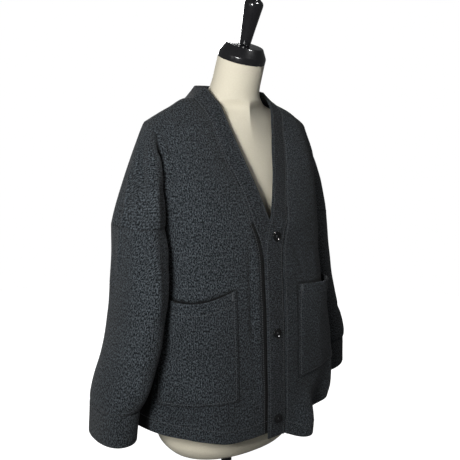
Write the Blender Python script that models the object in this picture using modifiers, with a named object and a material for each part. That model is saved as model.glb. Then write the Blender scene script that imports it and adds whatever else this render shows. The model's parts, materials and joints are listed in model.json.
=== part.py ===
"""Drop-shoulder v-neck cardigan in heavy knit, on a limbless dress form with a round base.

Metres, +Z up. The front faces -Y and the wearer's right side is -X. The origin is the middle of
the base's underside. Heights in the garment's tables are measured from the side neck point, and
their x values are those of the wearer's left side; the right side mirrors them.
"""
import math

import bpy
import numpy as np
from mathutils import Matrix, Vector

# ---------------------------------------------------------------- driving sizes
SIDE_NECK_Z = 0.985          # side neck point above the floor
CLOTH = 0.003                # one layer of the knit
BAND_CLOTH = 0.0046          # the bands are double
SEAM_GAP = 0.00040           # clear space between two cut pieces
BODY_LENGTH = 0.700          # side neck point to hem
DROP_Z = -0.254              # drop-shoulder seam and underarm
BAND_LAYER = 0.0061          # how far the upper band lies over the lower one
BAND_LIFT_END = -0.110       # the upper band has sunk to the chest here
BAND_CROWN = 0.02            # rise of a band over its own width
LIFT_FADE = 0.085            # width over which the left front sinks from the upper band to the chest
NECK_DRAW = 2.5              # exponent by which the front follows the neckline near its band
TIP_SPREAD = 60.0            # turn over which the drop seam follows the overarm line, in degrees
VALLEY_DRAW = 5              # exponent by which the drop seam meets the fold at the side
VALLEY_TURN = 80.0           # turn of the fold between body and sleeve, in degrees
SLEEVE_ROUND = 0.90          # exponent of the sleeve's rings, 1 being an ellipse
CHEST_ROUND = 1.2            # exponent of the curve from the chest over the shoulder
SLEEVE_VALLEY = 158.0        # turn on the sleeve's own ring where it meets the body
SLEEVE_BODY_GAP = 0.0042     # least distance of the sleeve's and the body's middle surfaces
POCKET_ROOM = 0.0060         # further distance where a pocket lies between them
LIP_TURN = 64.0              # turn of the body's edge beside the valley
SLEEVE_LIP = 112.0           # turn of the sleeve's edge beside the valley
CUFF_HEIGHT = 0.064
TAPER_ABOVE = 0.09           # the sleeve takes its own ring this far under the drop seam
POCKET_LAYER = 0.0036        # pocket's middle surface over the front's
MOUTH_ROUND = 1.3            # exponent of a pocket mouth's gape over its width
OUTLINE_PASSES = 5           # rounds in which a pocket's grid settles on its outline
BUTTON_HEIGHTS = (-0.287, -0.480, -0.664)

# columns and rows of the facets
SHOULDER_COLUMNS = 12
NECK_COLUMNS = 5
LOBE_COLUMNS = 8
UNDERARM_COLUMNS = 2
SKIRT_ROWS = 12
YOKE_ROWS = 8
BAND_COLUMNS = 3
SLEEVE_ROWS = 10
CUFF_ROWS = 4

# Body tube: height, half width, depth to the front, depth to the back, exponent of roundness
BODY_SECTIONS = (
    (-0.720, 0.254, 0.176, 0.152, 0.90),
    (-0.620, 0.246, 0.175, 0.147, 0.80),
    (-0.520, 0.230, 0.170, 0.141, 0.70),
    (-0.420, 0.208, 0.163, 0.136, 0.64),
    (-0.330, 0.200, 0.154, 0.132, 0.64),
    (-0.254, 0.200, 0.145, 0.128, 0.68),
)
# Hem: turn from the centre front, level on the wearer's right half, level on the left half
HEM_LEVELS = (
    (0.0, -0.697, -0.706),
    (8.0, -0.698, -0.7225),
    (16.0, -0.699, -0.7215),
    (34.0, -0.687, -0.7015),
    (55.0, -0.677, -0.688),
    (90.0, -0.672, -0.672),
    (135.0, -0.688, -0.688),
    (180.0, -0.694, -0.694),
)
# Standing folds of the skirt: side, turn, half width in degrees, depth at the hem, upper end
SKIRT_FOLDS = (
    (1, 16.0, 6.5, 0.028, -0.602),
    (1, 34.0, 9.0, -0.022, -0.600),
    (1, 60.0, 9.0, 0.006, -0.340),
    (-1, 30.0, 12.0, 0.004, -0.420),
    (-1, 118.0, 11.0, 0.012, -0.380),
    (-1, 152.0, 10.0, 0.018, -0.420),
    (1, 138.0, 11.0, 0.020, -0.400),
    (1, 108.0, 9.0, -0.008, -0.420),
)
# Closed front up to the break: band seam z, seam x, free edge z, free edge x
PLACKET = (
    (-0.720, 0.0225, -0.720, -0.0225),
    (-0.500, 0.0225, -0.500, -0.0225),
    (-0.390, 0.0225, -0.390, -0.0225),
    (-0.345, 0.0225, -0.345, -0.0225),
    (-0.315, 0.0240, -0.310, -0.0212),
    (-0.285, 0.0310, -0.272, -0.0135),
    (-0.254, 0.0430, -0.238, 0.0015),
)
# Neckline up to the shoulder seam: rise from 0 to 1, band seam x, y, z, free edge x, y, z
NECKLINE = {
    -1: (
        (0.28, 0.0525, -0.1260, -0.195, 0.0225, -0.1300, -0.178),
        (0.55, 0.0730, -0.1000, -0.135, 0.0410, -0.1080, -0.118),
        (0.78, 0.0850, -0.0730, -0.078, 0.0550, -0.0800, -0.058),
        (0.92, 0.0900, -0.0440, -0.036, 0.0640, -0.0530, -0.010),
        (1.00, 0.0950, -0.0080, -0.006, 0.0720, -0.0190, 0.021),
    ),
    1: (
        (0.28, 0.0600, -0.1220, -0.192, 0.0210, -0.1260, -0.178),
        (0.55, 0.0830, -0.0950, -0.132, 0.0420, -0.1000, -0.118),
        (0.78, 0.1000, -0.0630, -0.070, 0.0640, -0.0680, -0.056),
        (0.92, 0.1120, -0.0360, -0.022, 0.0790, -0.0400, -0.009),
        (1.00, 0.1130, -0.0080, -0.006, 0.0820, -0.0100, 0.018),
    ),
}
# Back neck: share of the way to the centre, seam x, y, z, free edge x, y, z
BACK_NECK = (
    (0.40, 0.0860, 0.0470, -0.003, 0.0690, 0.0280, 0.027),
    (0.72, 0.0500, 0.0780, 0.000, 0.0430, 0.0570, 0.031),
    (1.00, 0.0000, 0.0890, 0.001, 0.0000, 0.0680, 0.032),
)
# Shoulder seam beyond the neckline and its run down over the arm: share, x, y, z
SHOULDER_SEAM = (
    (0.5, 0.1560, 0.0020, -0.0270),
    (1.0, 0.2030, 0.0040, -0.0500),
)
OVERARM = {
    -1: (
        (0.00, 0.2030, 0.0040, -0.0500),
        (0.20, 0.2160, 0.0020, -0.0760),
        (0.45, 0.2330, -0.0040, -0.1180),
        (0.72, 0.2560, -0.0140, -0.1830),
        (1.00, 0.2800, -0.0240, -0.2540),
    ),
    1: (
        (0.00, 0.2030, 0.0040, -0.0500),
        (0.20, 0.2160, 0.0050, -0.0760),
        (0.45, 0.2320, 0.0060, -0.1180),
        (0.72, 0.2530, 0.0080, -0.1830),
        (1.00, 0.2760, 0.0100, -0.2540),
    ),
}
# Sleeve: height, middle x, middle y, half width, half depth
SLEEVE_SECTIONS = {
    -1: (
        (-0.254, 0.2420, -0.0300, 0.0385, 0.0740),
        (-0.330, 0.2440, -0.0350, 0.0400, 0.0820),
        (-0.420, 0.2520, -0.0400, 0.0410, 0.0850),
        (-0.520, 0.2740, -0.0450, 0.0410, 0.0850),
        (-0.580, 0.2950, -0.0440, 0.0420, 0.0800),
        (-0.606, 0.3040, -0.0420, 0.0400, 0.0680),
    ),
    1: (
        (-0.254, 0.2390, 0.0100, 0.0360, 0.0620),
        (-0.330, 0.2440, 0.0100, 0.0390, 0.0660),
        (-0.420, 0.2580, 0.0080, 0.0400, 0.0660),
        (-0.520, 0.2840, 0.0040, 0.0410, 0.0640),
        (-0.580, 0.3030, 0.0000, 0.0410, 0.0600),
        (-0.606, 0.3080, 0.0000, 0.0380, 0.0540),
    ),
}
# Cuff: drop below the sleeve, shift outwards, shift forwards, share of the sleeve's last size
CUFF_SECTIONS = (
    (0.000, 0.0000, 0.0000, 1.00),
    (0.016, 0.0020, 0.0010, 0.98),
    (0.066, 0.0060, 0.0020, 0.95),
)
CUFF_SHIFT = {-1: 0.002, 1: 0.024}      # each sleeve's own reach, right and left
CUFF_SAG = {-1: 0.0, 1: 0.034}          # how much lower the cuff's inner edge hangs
SEAM_SAG = 0.5                          # the share of it at the cuff's seam
SAG_START = -0.46                       # height at which the sleeve starts to sag
# Patch pocket, right and left: inner edge x, bottom, top at the inner and outer edge, dip of the
# mouth and how far it gapes
POCKET_WIDTH = 0.172
POCKETS = {
    -1: (0.089, -0.610, -0.380, -0.392, 0.016, 0.010),
    1: (0.062, -0.594, -0.388, -0.394, 0.004, 0.013),
}

# Dress form: height from the side neck point, half width, front, back, middle y, roundness
FORM_SECTIONS = (
    (-0.775, 0.150, 0.105, 0.105, 0.000, 0.90),
    (-0.760, 0.164, 0.116, 0.117, 0.000, 0.90),
    (-0.720, 0.172, 0.122, 0.124, 0.000, 0.90),
    (-0.560, 0.168, 0.120, 0.120, 0.000, 0.90),
    (-0.400, 0.138, 0.108, 0.096, 0.000, 0.90),
    (-0.250, 0.152, 0.120, 0.102, 0.000, 0.90),
    (-0.170, 0.162, 0.108, 0.104, 0.000, 0.94),
    (-0.110, 0.172, 0.092, 0.092, 0.000, 1.10),
    (-0.075, 0.181, 0.083, 0.080, 0.000, 1.45),
    (-0.058, 0.185, 0.079, 0.072, 0.000, 1.65),
    (-0.045, 0.182, 0.077, 0.066, 0.000, 1.80),
    (-0.0368, 0.170, 0.0755, 0.063, 0.000, 1.90),
    (-0.0298, 0.156, 0.0735, 0.058, -0.001, 2.05),
    (-0.0242, 0.140, 0.0715, 0.056, -0.002, 2.10),
    (-0.0175, 0.118, 0.0700, 0.055, -0.003, 2.10),
    (-0.0115, 0.092, 0.0680, 0.054, -0.005, 1.70),
    (-0.0040, 0.076, 0.0655, 0.054, -0.008, 1.25),
)
# Neck: way up its leaning axis, radius, tilt of the ring in degrees
NECK_RINGS = (
    (0.004, 0.0605, 4.0),
    (0.018, 0.0545, 14.0),
    (0.035, 0.0520, 21.0),
    (0.060, 0.0512, 21.0),
    (0.088, 0.0505, 21.0),
)
NECK_FOOT = (0.0, -0.011, -0.002)
NECK_LEAN = 21.0             # the neck leans forward, degrees
FORM_COLUMNS = 32
FORM_ROWS = 11
SHOULDER_TOP_Z = -0.110      # the form's own sections are taken as they are above this
# Turned pieces: radius and height along their axis
CAP_PROFILE = (
    (0.0, 0.0), (0.0503, 0.0), (0.0506, 0.0010), (0.0506, 0.0110), (0.0495, 0.0135),
    (0.0425, 0.0260), (0.0405, 0.0295), (0.0390, 0.0305), (0.0, 0.0305),
)
FINIAL_PROFILE = (
    (0.0, 0.0), (0.0115, 0.0), (0.0120, 0.0060), (0.0150, 0.0360), (0.0188, 0.0700),
    (0.0200, 0.0800), (0.0196, 0.0850), (0.0165, 0.0890), (0.0125, 0.0910), (0.0120, 0.0935),
    (0.0128, 0.0965), (0.0118, 0.1010), (0.0070, 0.1060), (0.0, 0.1080),
)
BASE_PROFILE = (
    (0.0, 0.0), (0.1600, 0.0), (0.1650, 0.0040), (0.1650, 0.0120), (0.1600, 0.0180),
    (0.1480, 0.0205), (0.0400, 0.0240), (0.0300, 0.0270), (0.0250, 0.0400), (0.0220, 0.0430),
    (0.0, 0.0430),
)
BUTTON_PROFILE = (
    (0.0, 0.0), (0.0080, 0.0), (0.0097, 0.0008), (0.0102, 0.0020), (0.0099, 0.0034),
    (0.0090, 0.0040), (0.0078, 0.0036), (0.0066, 0.0026), (0.0, 0.0024),
)
BUTTON_HOLE = 0.0010         # radius of a thread hole
BUTTON_HOLE_OUT = 0.0022     # its distance from the middle
POLE_RADIUS = 0.0125
SEAT = 0.0003                # clear space between pieces that stand on each other

RIGHT, LEFT = -1, 1
SIDE_NAME = {RIGHT: "right", LEFT: "left"}

CLOTH_COLOUR = (0.036, 0.042, 0.046)
IVORY = (0.83, 0.77, 0.60)
BLACK = (0.012, 0.012, 0.013)


# ---------------------------------------------------------------- curves
def through(knots, values, at):
    """Smooth curve through the values at rising knots."""
    knots = np.asarray(knots, float)
    values = np.asarray(values, float)
    if values.ndim == 1:
        return through(knots, values[:, None], at)[..., 0]
    at = np.asarray(at, float)
    step = np.diff(knots)[:, None]
    slope = np.diff(values, axis=0) / step
    tangent = np.empty_like(values)
    tangent[1:-1] = (slope[:-1] * step[1:] + slope[1:] * step[:-1]) / (step[1:] + step[:-1])
    tangent[0] = 1.5 * slope[0] - 0.5 * tangent[1]
    tangent[-1] = 1.5 * slope[-1] - 0.5 * tangent[-2]
    cell = np.clip(np.searchsorted(knots, at, side="right") - 1, 0, len(knots) - 2)
    width = step[cell, 0][..., None]
    t = ((at - knots[cell])[..., None]) / width
    start = (2 * t**3 - 3 * t**2 + 1) * values[cell] + (t**3 - 2 * t**2 + t) * width * tangent[cell]
    end = (3 * t**2 - 2 * t**3) * values[cell + 1] + (t**3 - t**2) * width * tangent[cell + 1]
    return start + end


def read(table, at):
    """Columns of a table, after its first, at given values of the first."""
    rows = np.asarray(sorted(table), float)
    return through(rows[:, 0], rows[:, 1:], at)


def ease(low, high, value):
    """0 below low, 1 above high, smooth between."""
    t = np.clip((np.asarray(value, float) - low) / (high - low), 0.0, 1.0)
    return t * t * (3 - 2 * t)


# ---------------------------------------------------------------- the garment's surfaces
def body_point(side, turn, z):
    """Middle surface of the body tube at a turn from the centre front and a height."""
    turn, z = np.broadcast_arrays(np.asarray(turn, float), np.asarray(z, float))
    half, front, back, power = np.moveaxis(read(BODY_SECTIONS, z), -1, 0)
    swing = np.radians(turn)
    ahead = np.cos(swing)
    depth = np.where(ahead > 0, front, back)
    x = half * np.sin(swing).clip(0) ** power
    y = -np.sign(ahead) * depth * np.abs(ahead) ** power
    for fold_side, middle, spread, reach, top in SKIRT_FOLDS:
        if fold_side == side:
            swell = reach * np.exp(-((turn - middle) / spread) ** 2) * (1 - ease(-BODY_LENGTH, top, z))
            x = x + swell * np.sin(swing)
            y = y - swell * ahead
    return np.stack([x, y, z], axis=-1)


def turn_at_x(x, z):
    """Turn at which the body tube's front is this far from the centre."""
    sections = read(BODY_SECTIONS, z)
    return np.degrees(np.arcsin((np.asarray(x, float) / sections[..., 0]) ** (1 / sections[..., 3])))


def band_lift(side, z):
    """How far the upper band, on the wearer's left, stands off the chest."""
    if side == RIGHT:
        return np.zeros_like(np.asarray(z, float))
    return BAND_LAYER * (1 - ease(-0.235, BAND_LIFT_END, z))


def lift_front(side, points, from_seam):
    """Raise the left front beside its band; from_seam is the distance from the band seam."""
    amount = band_lift(side, points[..., 2]) * (1 - ease(0.0, LIFT_FADE, from_seam))
    outward = points * (1.0, 1.0, 0.0)
    outward = outward / np.linalg.norm(outward, axis=-1, keepdims=True)
    return points + outward * amount[..., None]


def seam_x(z):
    rows = np.asarray(PLACKET)
    return through(rows[:, 0], rows[:, 1], z)


def hem_height(side, turn):
    levels = read(HEM_LEVELS, turn)
    return levels[..., 0] if side == RIGHT else levels[..., 1]


def front_face(side, turn, z):
    """Left or right front's middle surface below the drop line."""
    points = body_point(side, turn, z)
    return lift_front(side, points, points[..., 0] - seam_x(z))


def front_skirt(side, share, rise):
    """Front below the drop line; share runs from the band seam (0) to the valley (1) and on."""
    share, rise = np.broadcast_arrays(np.asarray(share, float), np.asarray(rise, float))
    low = hem_height(side, VALLEY_TURN * share)
    z = low + (DROP_Z - low) * rise
    first = turn_at_x(seam_x(z), z)
    return front_face(side, first + (VALLEY_TURN - first) * share, z)


def back_skirt(side, turn, rise):
    low = hem_height(side, turn)
    return body_point(side, turn, low + (DROP_Z - low) * rise)


def hull(side, points, face):
    """The drop line drawn straight over the valley between body and sleeve."""
    sign = 1 if face == "front" else -1
    lip = body_point(side, 90 - sign * (90 - LIP_TURN), DROP_Z)
    far = sleeve_ring(side, sign * SLEEVE_LIP, DROP_Z)
    x, y, z = np.moveaxis(points, -1, 0)
    line = lip[1] + (far[1] - lip[1]) * (x - lip[0]) / (far[0] - lip[0])
    flat = -sign * np.maximum(-sign * y, -sign * line)
    return np.stack([x, np.where((x > lip[0]) & (x < far[0]), flat, y), z], axis=-1)


def over_shoulder(side, base, top, rise, face):
    """Run from the drop line over the chest or the arm up to the seam on top."""
    swing = np.radians(90 * rise)[..., None]
    up = np.sin(swing)
    valley = 1 - ease(0.40, 0.86, up)
    base = hull(side, base, face) * (1 - valley) + base * valley
    back_run = np.cos(swing).clip(0) ** CHEST_ROUND
    mixed = base + (top - base) * up
    mixed[..., 1:2] = top[..., 1:2] + (base[..., 1:2] - top[..., 1:2]) * back_run
    return mixed


def shoulder_seam(side, share):
    neck = NECKLINE[side][-1][1:4]
    return read(((0.0, *neck), *SHOULDER_SEAM), share)


def back_neck(side, share):
    """Seam and free edge of the back-neck band from the shoulder seam to the centre."""
    return read(((0.0, *NECKLINE[side][-1][1:]), *BACK_NECK), share)


def neck_seam(side, rise):
    """Front band seam above the drop line."""
    start = front_skirt(side, 0.0, 1.0)
    rows = np.asarray(NECKLINE[side])
    points = np.vstack([start, rows[:, 1:4]])
    curve = through(np.concatenate([[0.0], rows[:, 0]]), points, np.sin(np.radians(90 * rise)))
    lift = band_lift(side, curve[..., 2]) - band_lift(side, DROP_Z) * (1 - ease(0.0, 0.3, rise))
    return curve + np.stack([0 * lift, -lift, 0 * lift], axis=-1)


def front_yoke(side, share, rise):
    """Front above the drop line, from the band seam to the valley and the shoulder seam."""
    share, rise = np.broadcast_arrays(np.asarray(share, float), np.asarray(rise, float))
    base = front_skirt(side, share, np.ones_like(share))
    top = shoulder_seam(side, share)
    points = over_shoulder(side, base, top, rise, "front")
    first = over_shoulder(side, front_skirt(side, np.zeros_like(share), np.ones_like(share)),
                          shoulder_seam(side, np.zeros_like(share)), rise, "front")
    pull = (neck_seam(side, rise) - first) * ((1 - share) ** NECK_DRAW)[..., None]
    return points + pull


def back_yoke(side, share, rise):
    """Back above the drop line; share runs from the centre back (0) to the valley (1)."""
    share, rise = np.broadcast_arrays(np.asarray(share, float), np.asarray(rise, float))
    turn = 180.0 - VALLEY_TURN * share
    base = back_skirt(side, turn, np.ones_like(share))
    split = NECK_COLUMNS / (NECK_COLUMNS + SHOULDER_COLUMNS)
    on_neck = share < split - 1e-9
    neck = back_neck(side, 1 - np.clip(share / split, 0, 1))[..., :3]
    seam = shoulder_seam(side, np.clip((share - split) / (1 - split), 0, 1))
    top = np.where(on_neck[..., None], neck, seam)
    return over_shoulder(side, base, top, rise, "back")


def sleeve_ring(side, turn, z):
    """Sleeve's middle surface; turn runs from the outside (0) over the front (90)."""
    turn, z = np.broadcast_arrays(np.asarray(turn, float), np.asarray(z, float))
    x0, y0, half, depth = np.moveaxis(read(SLEEVE_SECTIONS[side], z), -1, 0)
    swing = np.radians(turn)
    across, ahead = np.cos(swing), np.sin(swing)
    x = x0 + half * np.sign(across) * np.abs(across) ** SLEEVE_ROUND
    y = y0 - depth * np.sign(ahead) * np.abs(ahead) ** SLEEVE_ROUND
    return np.stack([x, y, z], axis=-1)


def drop_seam(side, turn):
    """Drop-shoulder seam round the sleeve, drawn to the valleys of the body."""
    turn = np.asarray(turn, float)
    points = sleeve_ring(side, turn, np.full_like(turn, DROP_Z))
    tip = np.asarray(OVERARM[side][-1][1:])
    own_tip = sleeve_ring(side, 0.0, DROP_Z)
    near_tip = (1 - ease(0.0, TIP_SPREAD, np.abs(turn)))[..., None]
    points = points + (tip - own_tip) * near_tip
    for face, sign in (("front", 1), ("back", -1)):
        body_turn = VALLEY_TURN if face == "front" else 180 - VALLEY_TURN
        valley = body_point(side, body_turn, DROP_Z)
        own = sleeve_ring(side, sign * SLEEVE_VALLEY, DROP_Z)
        share = np.clip(sign * turn / SLEEVE_VALLEY, 0, 1)[..., None] ** VALLEY_DRAW
        points = points + (valley - own) * share
    return points


def lobe(side, face, share, rise):
    """Front or back over the arm; share runs from the valley (0) to the overarm line (1)."""
    share, rise = np.broadcast_arrays(np.asarray(share, float), np.asarray(rise, float))
    sign = 1 if face == "front" else -1
    base = drop_seam(side, sign * SLEEVE_VALLEY * (1 - share))
    return over_shoulder(side, base, read(OVERARM[side], share), rise, face)


def placket_row(side, height):
    """Seam and free edge of a front band below the drop line."""
    rows = np.asarray(PLACKET)
    edge_z, edge_x = through(rows[:, 0], rows[:, 2:4], height)
    seam = front_face(side, turn_at_x(seam_x(height), height), height)
    edge = body_point(side, turn_at_x(abs(edge_x), edge_z), edge_z)
    edge[0] = edge_x
    edge[1] -= band_lift(side, edge_z)
    return seam, edge


def band_strip(side, rise_skirt, rise_yoke, across):
    """Rows of a front band from the hem to the shoulder seam, seam edge first."""
    rows = [placket_row(side, front_skirt(side, 0.0, rise)[2]) for rise in rise_skirt]
    start = rows[-1][1]
    table = np.asarray(NECKLINE[side])
    knots = np.concatenate([[0.0], table[:, 0]])
    for rise in rise_yoke[1:]:
        up = math.sin(math.radians(90 * rise))
        edge = through(knots, np.vstack([start, table[:, 4:7]]), up)
        lift = band_lift(side, edge[2]) * float(ease(0.0, 0.3, rise))
        rows.append((neck_seam(side, rise), edge - np.array((0.0, lift, 0.0))))
    return blend_rows(rows, across)


def blend_rows(rows, across):
    """Points between seam and free edge of a band, slightly crowned."""
    grid = []
    for seam, edge in rows:
        crown = BAND_CROWN * abs(seam[0] - edge[0])
        grid.append([seam + (edge - seam) * share - np.array((0.0, 4 * share * (1 - share) * crown, 0.0))
                     for share in across])
    return np.asarray(grid)


# ---------------------------------------------------------------- one welded surface
class Surface:
    """Middle surface of the sewn garment; each face carries the name of its cut piece."""

    def __init__(self):
        self.points, self.faces, self.names, self.known = [], [], [], {}

    def corner(self, point):
        key = tuple(int(round(c * 2e5)) for c in point)
        if key not in self.known:
            self.known[key] = len(self.points)
            self.points.append(np.asarray(point, float))
        return self.known[key]

    def patch(self, name, grid, side):
        """Add a grid whose rows run up and whose columns run from the middle outwards."""
        grid = np.asarray(grid) * np.array((side, 1.0, 1.0))
        rows, columns = grid.shape[:2]
        ids = [[self.corner(grid[i, j]) for j in range(columns)] for i in range(rows)]
        for i in range(rows - 1):
            for j in range(columns - 1):
                loop = [ids[i][j], ids[i][j + 1], ids[i + 1][j + 1], ids[i + 1][j]]
                loop = [v for k, v in enumerate(loop) if v != loop[k - 1]]
                if len(loop) > 2:
                    self.faces.append(loop if side > 0 else loop[::-1])
                    self.names.append(name)

    def normals(self):
        total = np.zeros((len(self.points), 3))
        points = np.asarray(self.points)
        for face in self.faces:
            corners = points[face]
            area = np.zeros(3)
            for a, b in zip(corners, np.roll(corners, -1, axis=0)):
                area += np.cross(a, b)
            total[face] += area
        return total / np.linalg.norm(total, axis=1, keepdims=True)


def pulled_back(points, normals, faces, gap):
    """Points of one piece with its cut edges moved inwards by half a seam gap."""
    owners = {}
    for face in faces:
        for a, b in zip(face, face[1:] + face[:1]):
            owners.setdefault(frozenset((a, b)), []).append((a, b))
    inward = {}
    for pairs in owners.values():
        if len(pairs) == 1:
            a, b = pairs[0]
            along = points[b] - points[a]
            for v in (a, b):
                turn_in = np.cross(normals[v], along)
                inward.setdefault(v, []).append(turn_in / np.linalg.norm(turn_in))
    moved = points.copy()
    for v, turns in inward.items():
        if len(turns) >= 2:
            first, second = turns[0], turns[1]
            mitre = (first + second) / max(1 + float(first @ second), 0.5)
        else:
            mitre = turns[0]
        moved[v] = points[v] + mitre * gap / 2
    return moved, {e: p[0] for e, p in owners.items() if len(p) == 1}


def wall(name, points, normals, faces, thickness, material):
    """Closed wall of even thickness on the faces of one piece."""
    points = np.asarray(points, float)
    moved, rim = pulled_back(points, normals, faces, SEAM_GAP)
    used = sorted({v for face in faces for v in face})
    number = {v: k for k, v in enumerate(used)}
    outer = moved[used] + normals[used] * thickness / 2
    inner = moved[used] - normals[used] * thickness / 2
    count = len(used)
    polygons = [[number[v] for v in face] for face in faces]
    polygons += [[number[v] + count for v in reversed(face)] for face in faces]
    for a, b in rim.values():
        corners = [number[b], number[a], number[a] + count, number[b] + count]
        if a < b:
            corners = corners[1:] + corners[:1]
        polygons += [[corners[0], corners[1], corners[2]], [corners[0], corners[2], corners[3]]]
    return mesh_object(name, np.vstack([outer, inner]), polygons, material)


def mesh_object(name, points, polygons, material):
    mesh = bpy.data.meshes.new(name)
    lifted = np.asarray(points) + np.array((0.0, 0.0, SIDE_NECK_Z))
    mesh.from_pydata([tuple(p) for p in lifted], [], polygons)
    mesh.update()
    made = bpy.data.objects.new(name, mesh)
    mesh.materials.append(material)
    mesh.shade_smooth()
    mesh.set_sharp_from_angle(angle=math.radians(50))
    collection.objects.link(made)
    return made


# ---------------------------------------------------------------- cut pieces
def front_columns():
    """Shares of the front's columns, from the band seam to the side."""
    under = 1 + (90 / VALLEY_TURN - 1) * np.linspace(0, 1, UNDERARM_COLUMNS + 1)
    return np.concatenate([np.linspace(0, 1, SHOULDER_COLUMNS + 1), under[1:]])


def sewn_garment():
    """Fronts, back and bands on one welded surface."""
    cloth = Surface()
    shares = np.linspace(0, 1, SHOULDER_COLUMNS + 1)
    lobe_shares = np.linspace(0, 1, LOBE_COLUMNS + 1)
    skirt_rows = np.linspace(0, 1, SKIRT_ROWS + 1)
    yoke_rows = np.linspace(0, 1, YOKE_ROWS + 1)
    back_shares = np.linspace(0, 1, NECK_COLUMNS + SHOULDER_COLUMNS + 1)
    across = np.linspace(0, 1, BAND_COLUMNS + 1)
    for side in (RIGHT, LEFT):
        front = "front_" + SIDE_NAME[side]
        cloth.patch(front, front_skirt(side, front_columns()[None, :], skirt_rows[:, None]), side)
        cloth.patch(front, front_yoke(side, shares[None, :], yoke_rows[:, None]), side)
        cloth.patch(front, lobe(side, "front", lobe_shares[None, :], yoke_rows[:, None]), side)
        strip = band_strip(side, skirt_rows, yoke_rows, across)
        cloth.patch("band_" + SIDE_NAME[side], strip[:, ::-1], side)
        turns = 180 - VALLEY_TURN * back_shares
        under_turns = 90 + (90 - VALLEY_TURN) * np.linspace(0, 1, UNDERARM_COLUMNS + 1)
        cloth.patch("back", back_skirt(side, turns[None, ::-1], skirt_rows[:, None]), side)
        cloth.patch("back", back_skirt(side, under_turns[None, :], skirt_rows[:, None]), side)
        cloth.patch("back", back_yoke(side, back_shares[None, ::-1], yoke_rows[:, None]), side)
        cloth.patch("back", lobe(side, "back", lobe_shares[None, ::-1], yoke_rows[:, None]), side)
        rows = back_neck(side, np.linspace(0, 1, NECK_COLUMNS + 1))
        collar = blend_rows([(row[:3], row[3:]) for row in rows], across)
        collar_grid = np.swapaxes(collar, 0, 1)
        cloth.patch("band_neck", collar_grid, side)
    return cloth


def build_walls(surface, knit):
    """One closed wall for each cut piece of a surface."""
    normals = surface.normals()
    for name in sorted(set(surface.names)):
        faces = [face for face, owner in zip(surface.faces, surface.names) if owner == name]
        thickness = BAND_CLOTH if name.startswith(("band", "cuff")) else CLOTH
        wall(name, surface.points, normals, faces, thickness, knit)
    return normals


def clear_of_body(points):
    """Push a sleeve's points out from the body tube where they hang against it."""
    y, z = points[..., 1], points[..., 2]
    half, front, back, power = np.moveaxis(read(BODY_SECTIONS, z), -1, 0)
    level = np.clip(np.abs(y) / np.where(y < 0, front, back), 0, 1) ** (1 / power)
    edge = half * (1 - level**2) ** (power / 2)
    room = SLEEVE_BODY_GAP + POCKET_ROOM * (1 - ease(-0.40, -0.32, z))
    out = points.copy()
    out[..., 0] = np.maximum(points[..., 0], edge + room)
    return out


def build_sleeve(side, knit):
    """Sleeve from the drop seam to the wrist and the turned cuff below it, on one surface."""
    turns = np.concatenate([np.linspace(-SLEEVE_VALLEY, SLEEVE_VALLEY, 2 * LOBE_COLUMNS + 1),
                            np.linspace(SLEEVE_VALLEY, 360 - SLEEVE_VALLEY, 4)[1:-1]])
    wrist, x0, y0, half, depth = SLEEVE_SECTIONS[side][-1]
    reach = CUFF_SHIFT[side]
    swing = np.radians(turns)
    sag = CUFF_SAG[side] * (1 - np.cos(swing)) / 2
    at_seam = drop_seam(side, (turns + 180) % 360 - 180)
    own_seam = sleeve_ring(side, turns, np.full_like(turns, DROP_Z))
    rings = []
    for z in np.linspace(DROP_Z - SEAM_GAP, wrist, SLEEVE_ROWS + 1):
        ring = sleeve_ring(side, turns, np.full_like(turns, z))
        ring += (at_seam - own_seam) * ease(DROP_Z - TAPER_ABOVE, DROP_Z, z)
        ring[:, 2] = z + reach * (DROP_Z - z) / (DROP_Z - wrist)
        ring[:, 2] -= sag * SEAM_SAG * (1 - ease(wrist, SAG_START, z))
        rings.append(clear_of_body(ring))
    across = np.sign(np.cos(swing)) * np.abs(np.cos(swing)) ** SLEEVE_ROUND
    ahead = np.sign(np.sin(swing)) * np.abs(np.sin(swing)) ** SLEEVE_ROUND
    for drop in np.linspace(0, CUFF_HEIGHT, CUFF_ROWS + 1)[1:]:
        outwards, forwards, size = read(CUFF_SECTIONS, drop)
        x = x0 + outwards + half * size * across
        y = y0 - forwards - depth * size * ahead
        level = wrist - drop + reach - sag * (SEAM_SAG + (1 - SEAM_SAG) * drop / CUFF_HEIGHT)
        rings.append(clear_of_body(np.stack([x, y, level], axis=-1)))
    surface = Surface()
    closed = np.concatenate([rings, np.asarray(rings)[:, :1]], axis=1)[::-1]
    sleeve, cuff = "sleeve_" + SIDE_NAME[side], "cuff_" + SIDE_NAME[side]
    surface.patch(cuff, closed[:CUFF_ROWS + 1, ::-1], side)
    surface.patch(sleeve, closed[CUFF_ROWS:, ::-1], side)
    build_walls(surface, knit)


# ---------------------------------------------------------------- pockets and buttons
def pocket_sides(side, z):
    """Shares of a pocket's inner and outer edge at a height."""
    first = turn_at_x(seam_x(z), z)
    inner = float((turn_at_x(POCKETS[side][0], z) - first) / (VALLEY_TURN - first))
    shares = np.linspace(inner, front_columns()[-1], 80)
    turns = first + (VALLEY_TURN - first) * shares
    line = front_face(side, turns, np.full_like(turns, z))
    run = np.concatenate([[0.0], np.cumsum(np.linalg.norm(np.diff(line, axis=0), axis=1))])
    return inner, float(np.interp(POCKET_WIDTH, run, shares))


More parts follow.
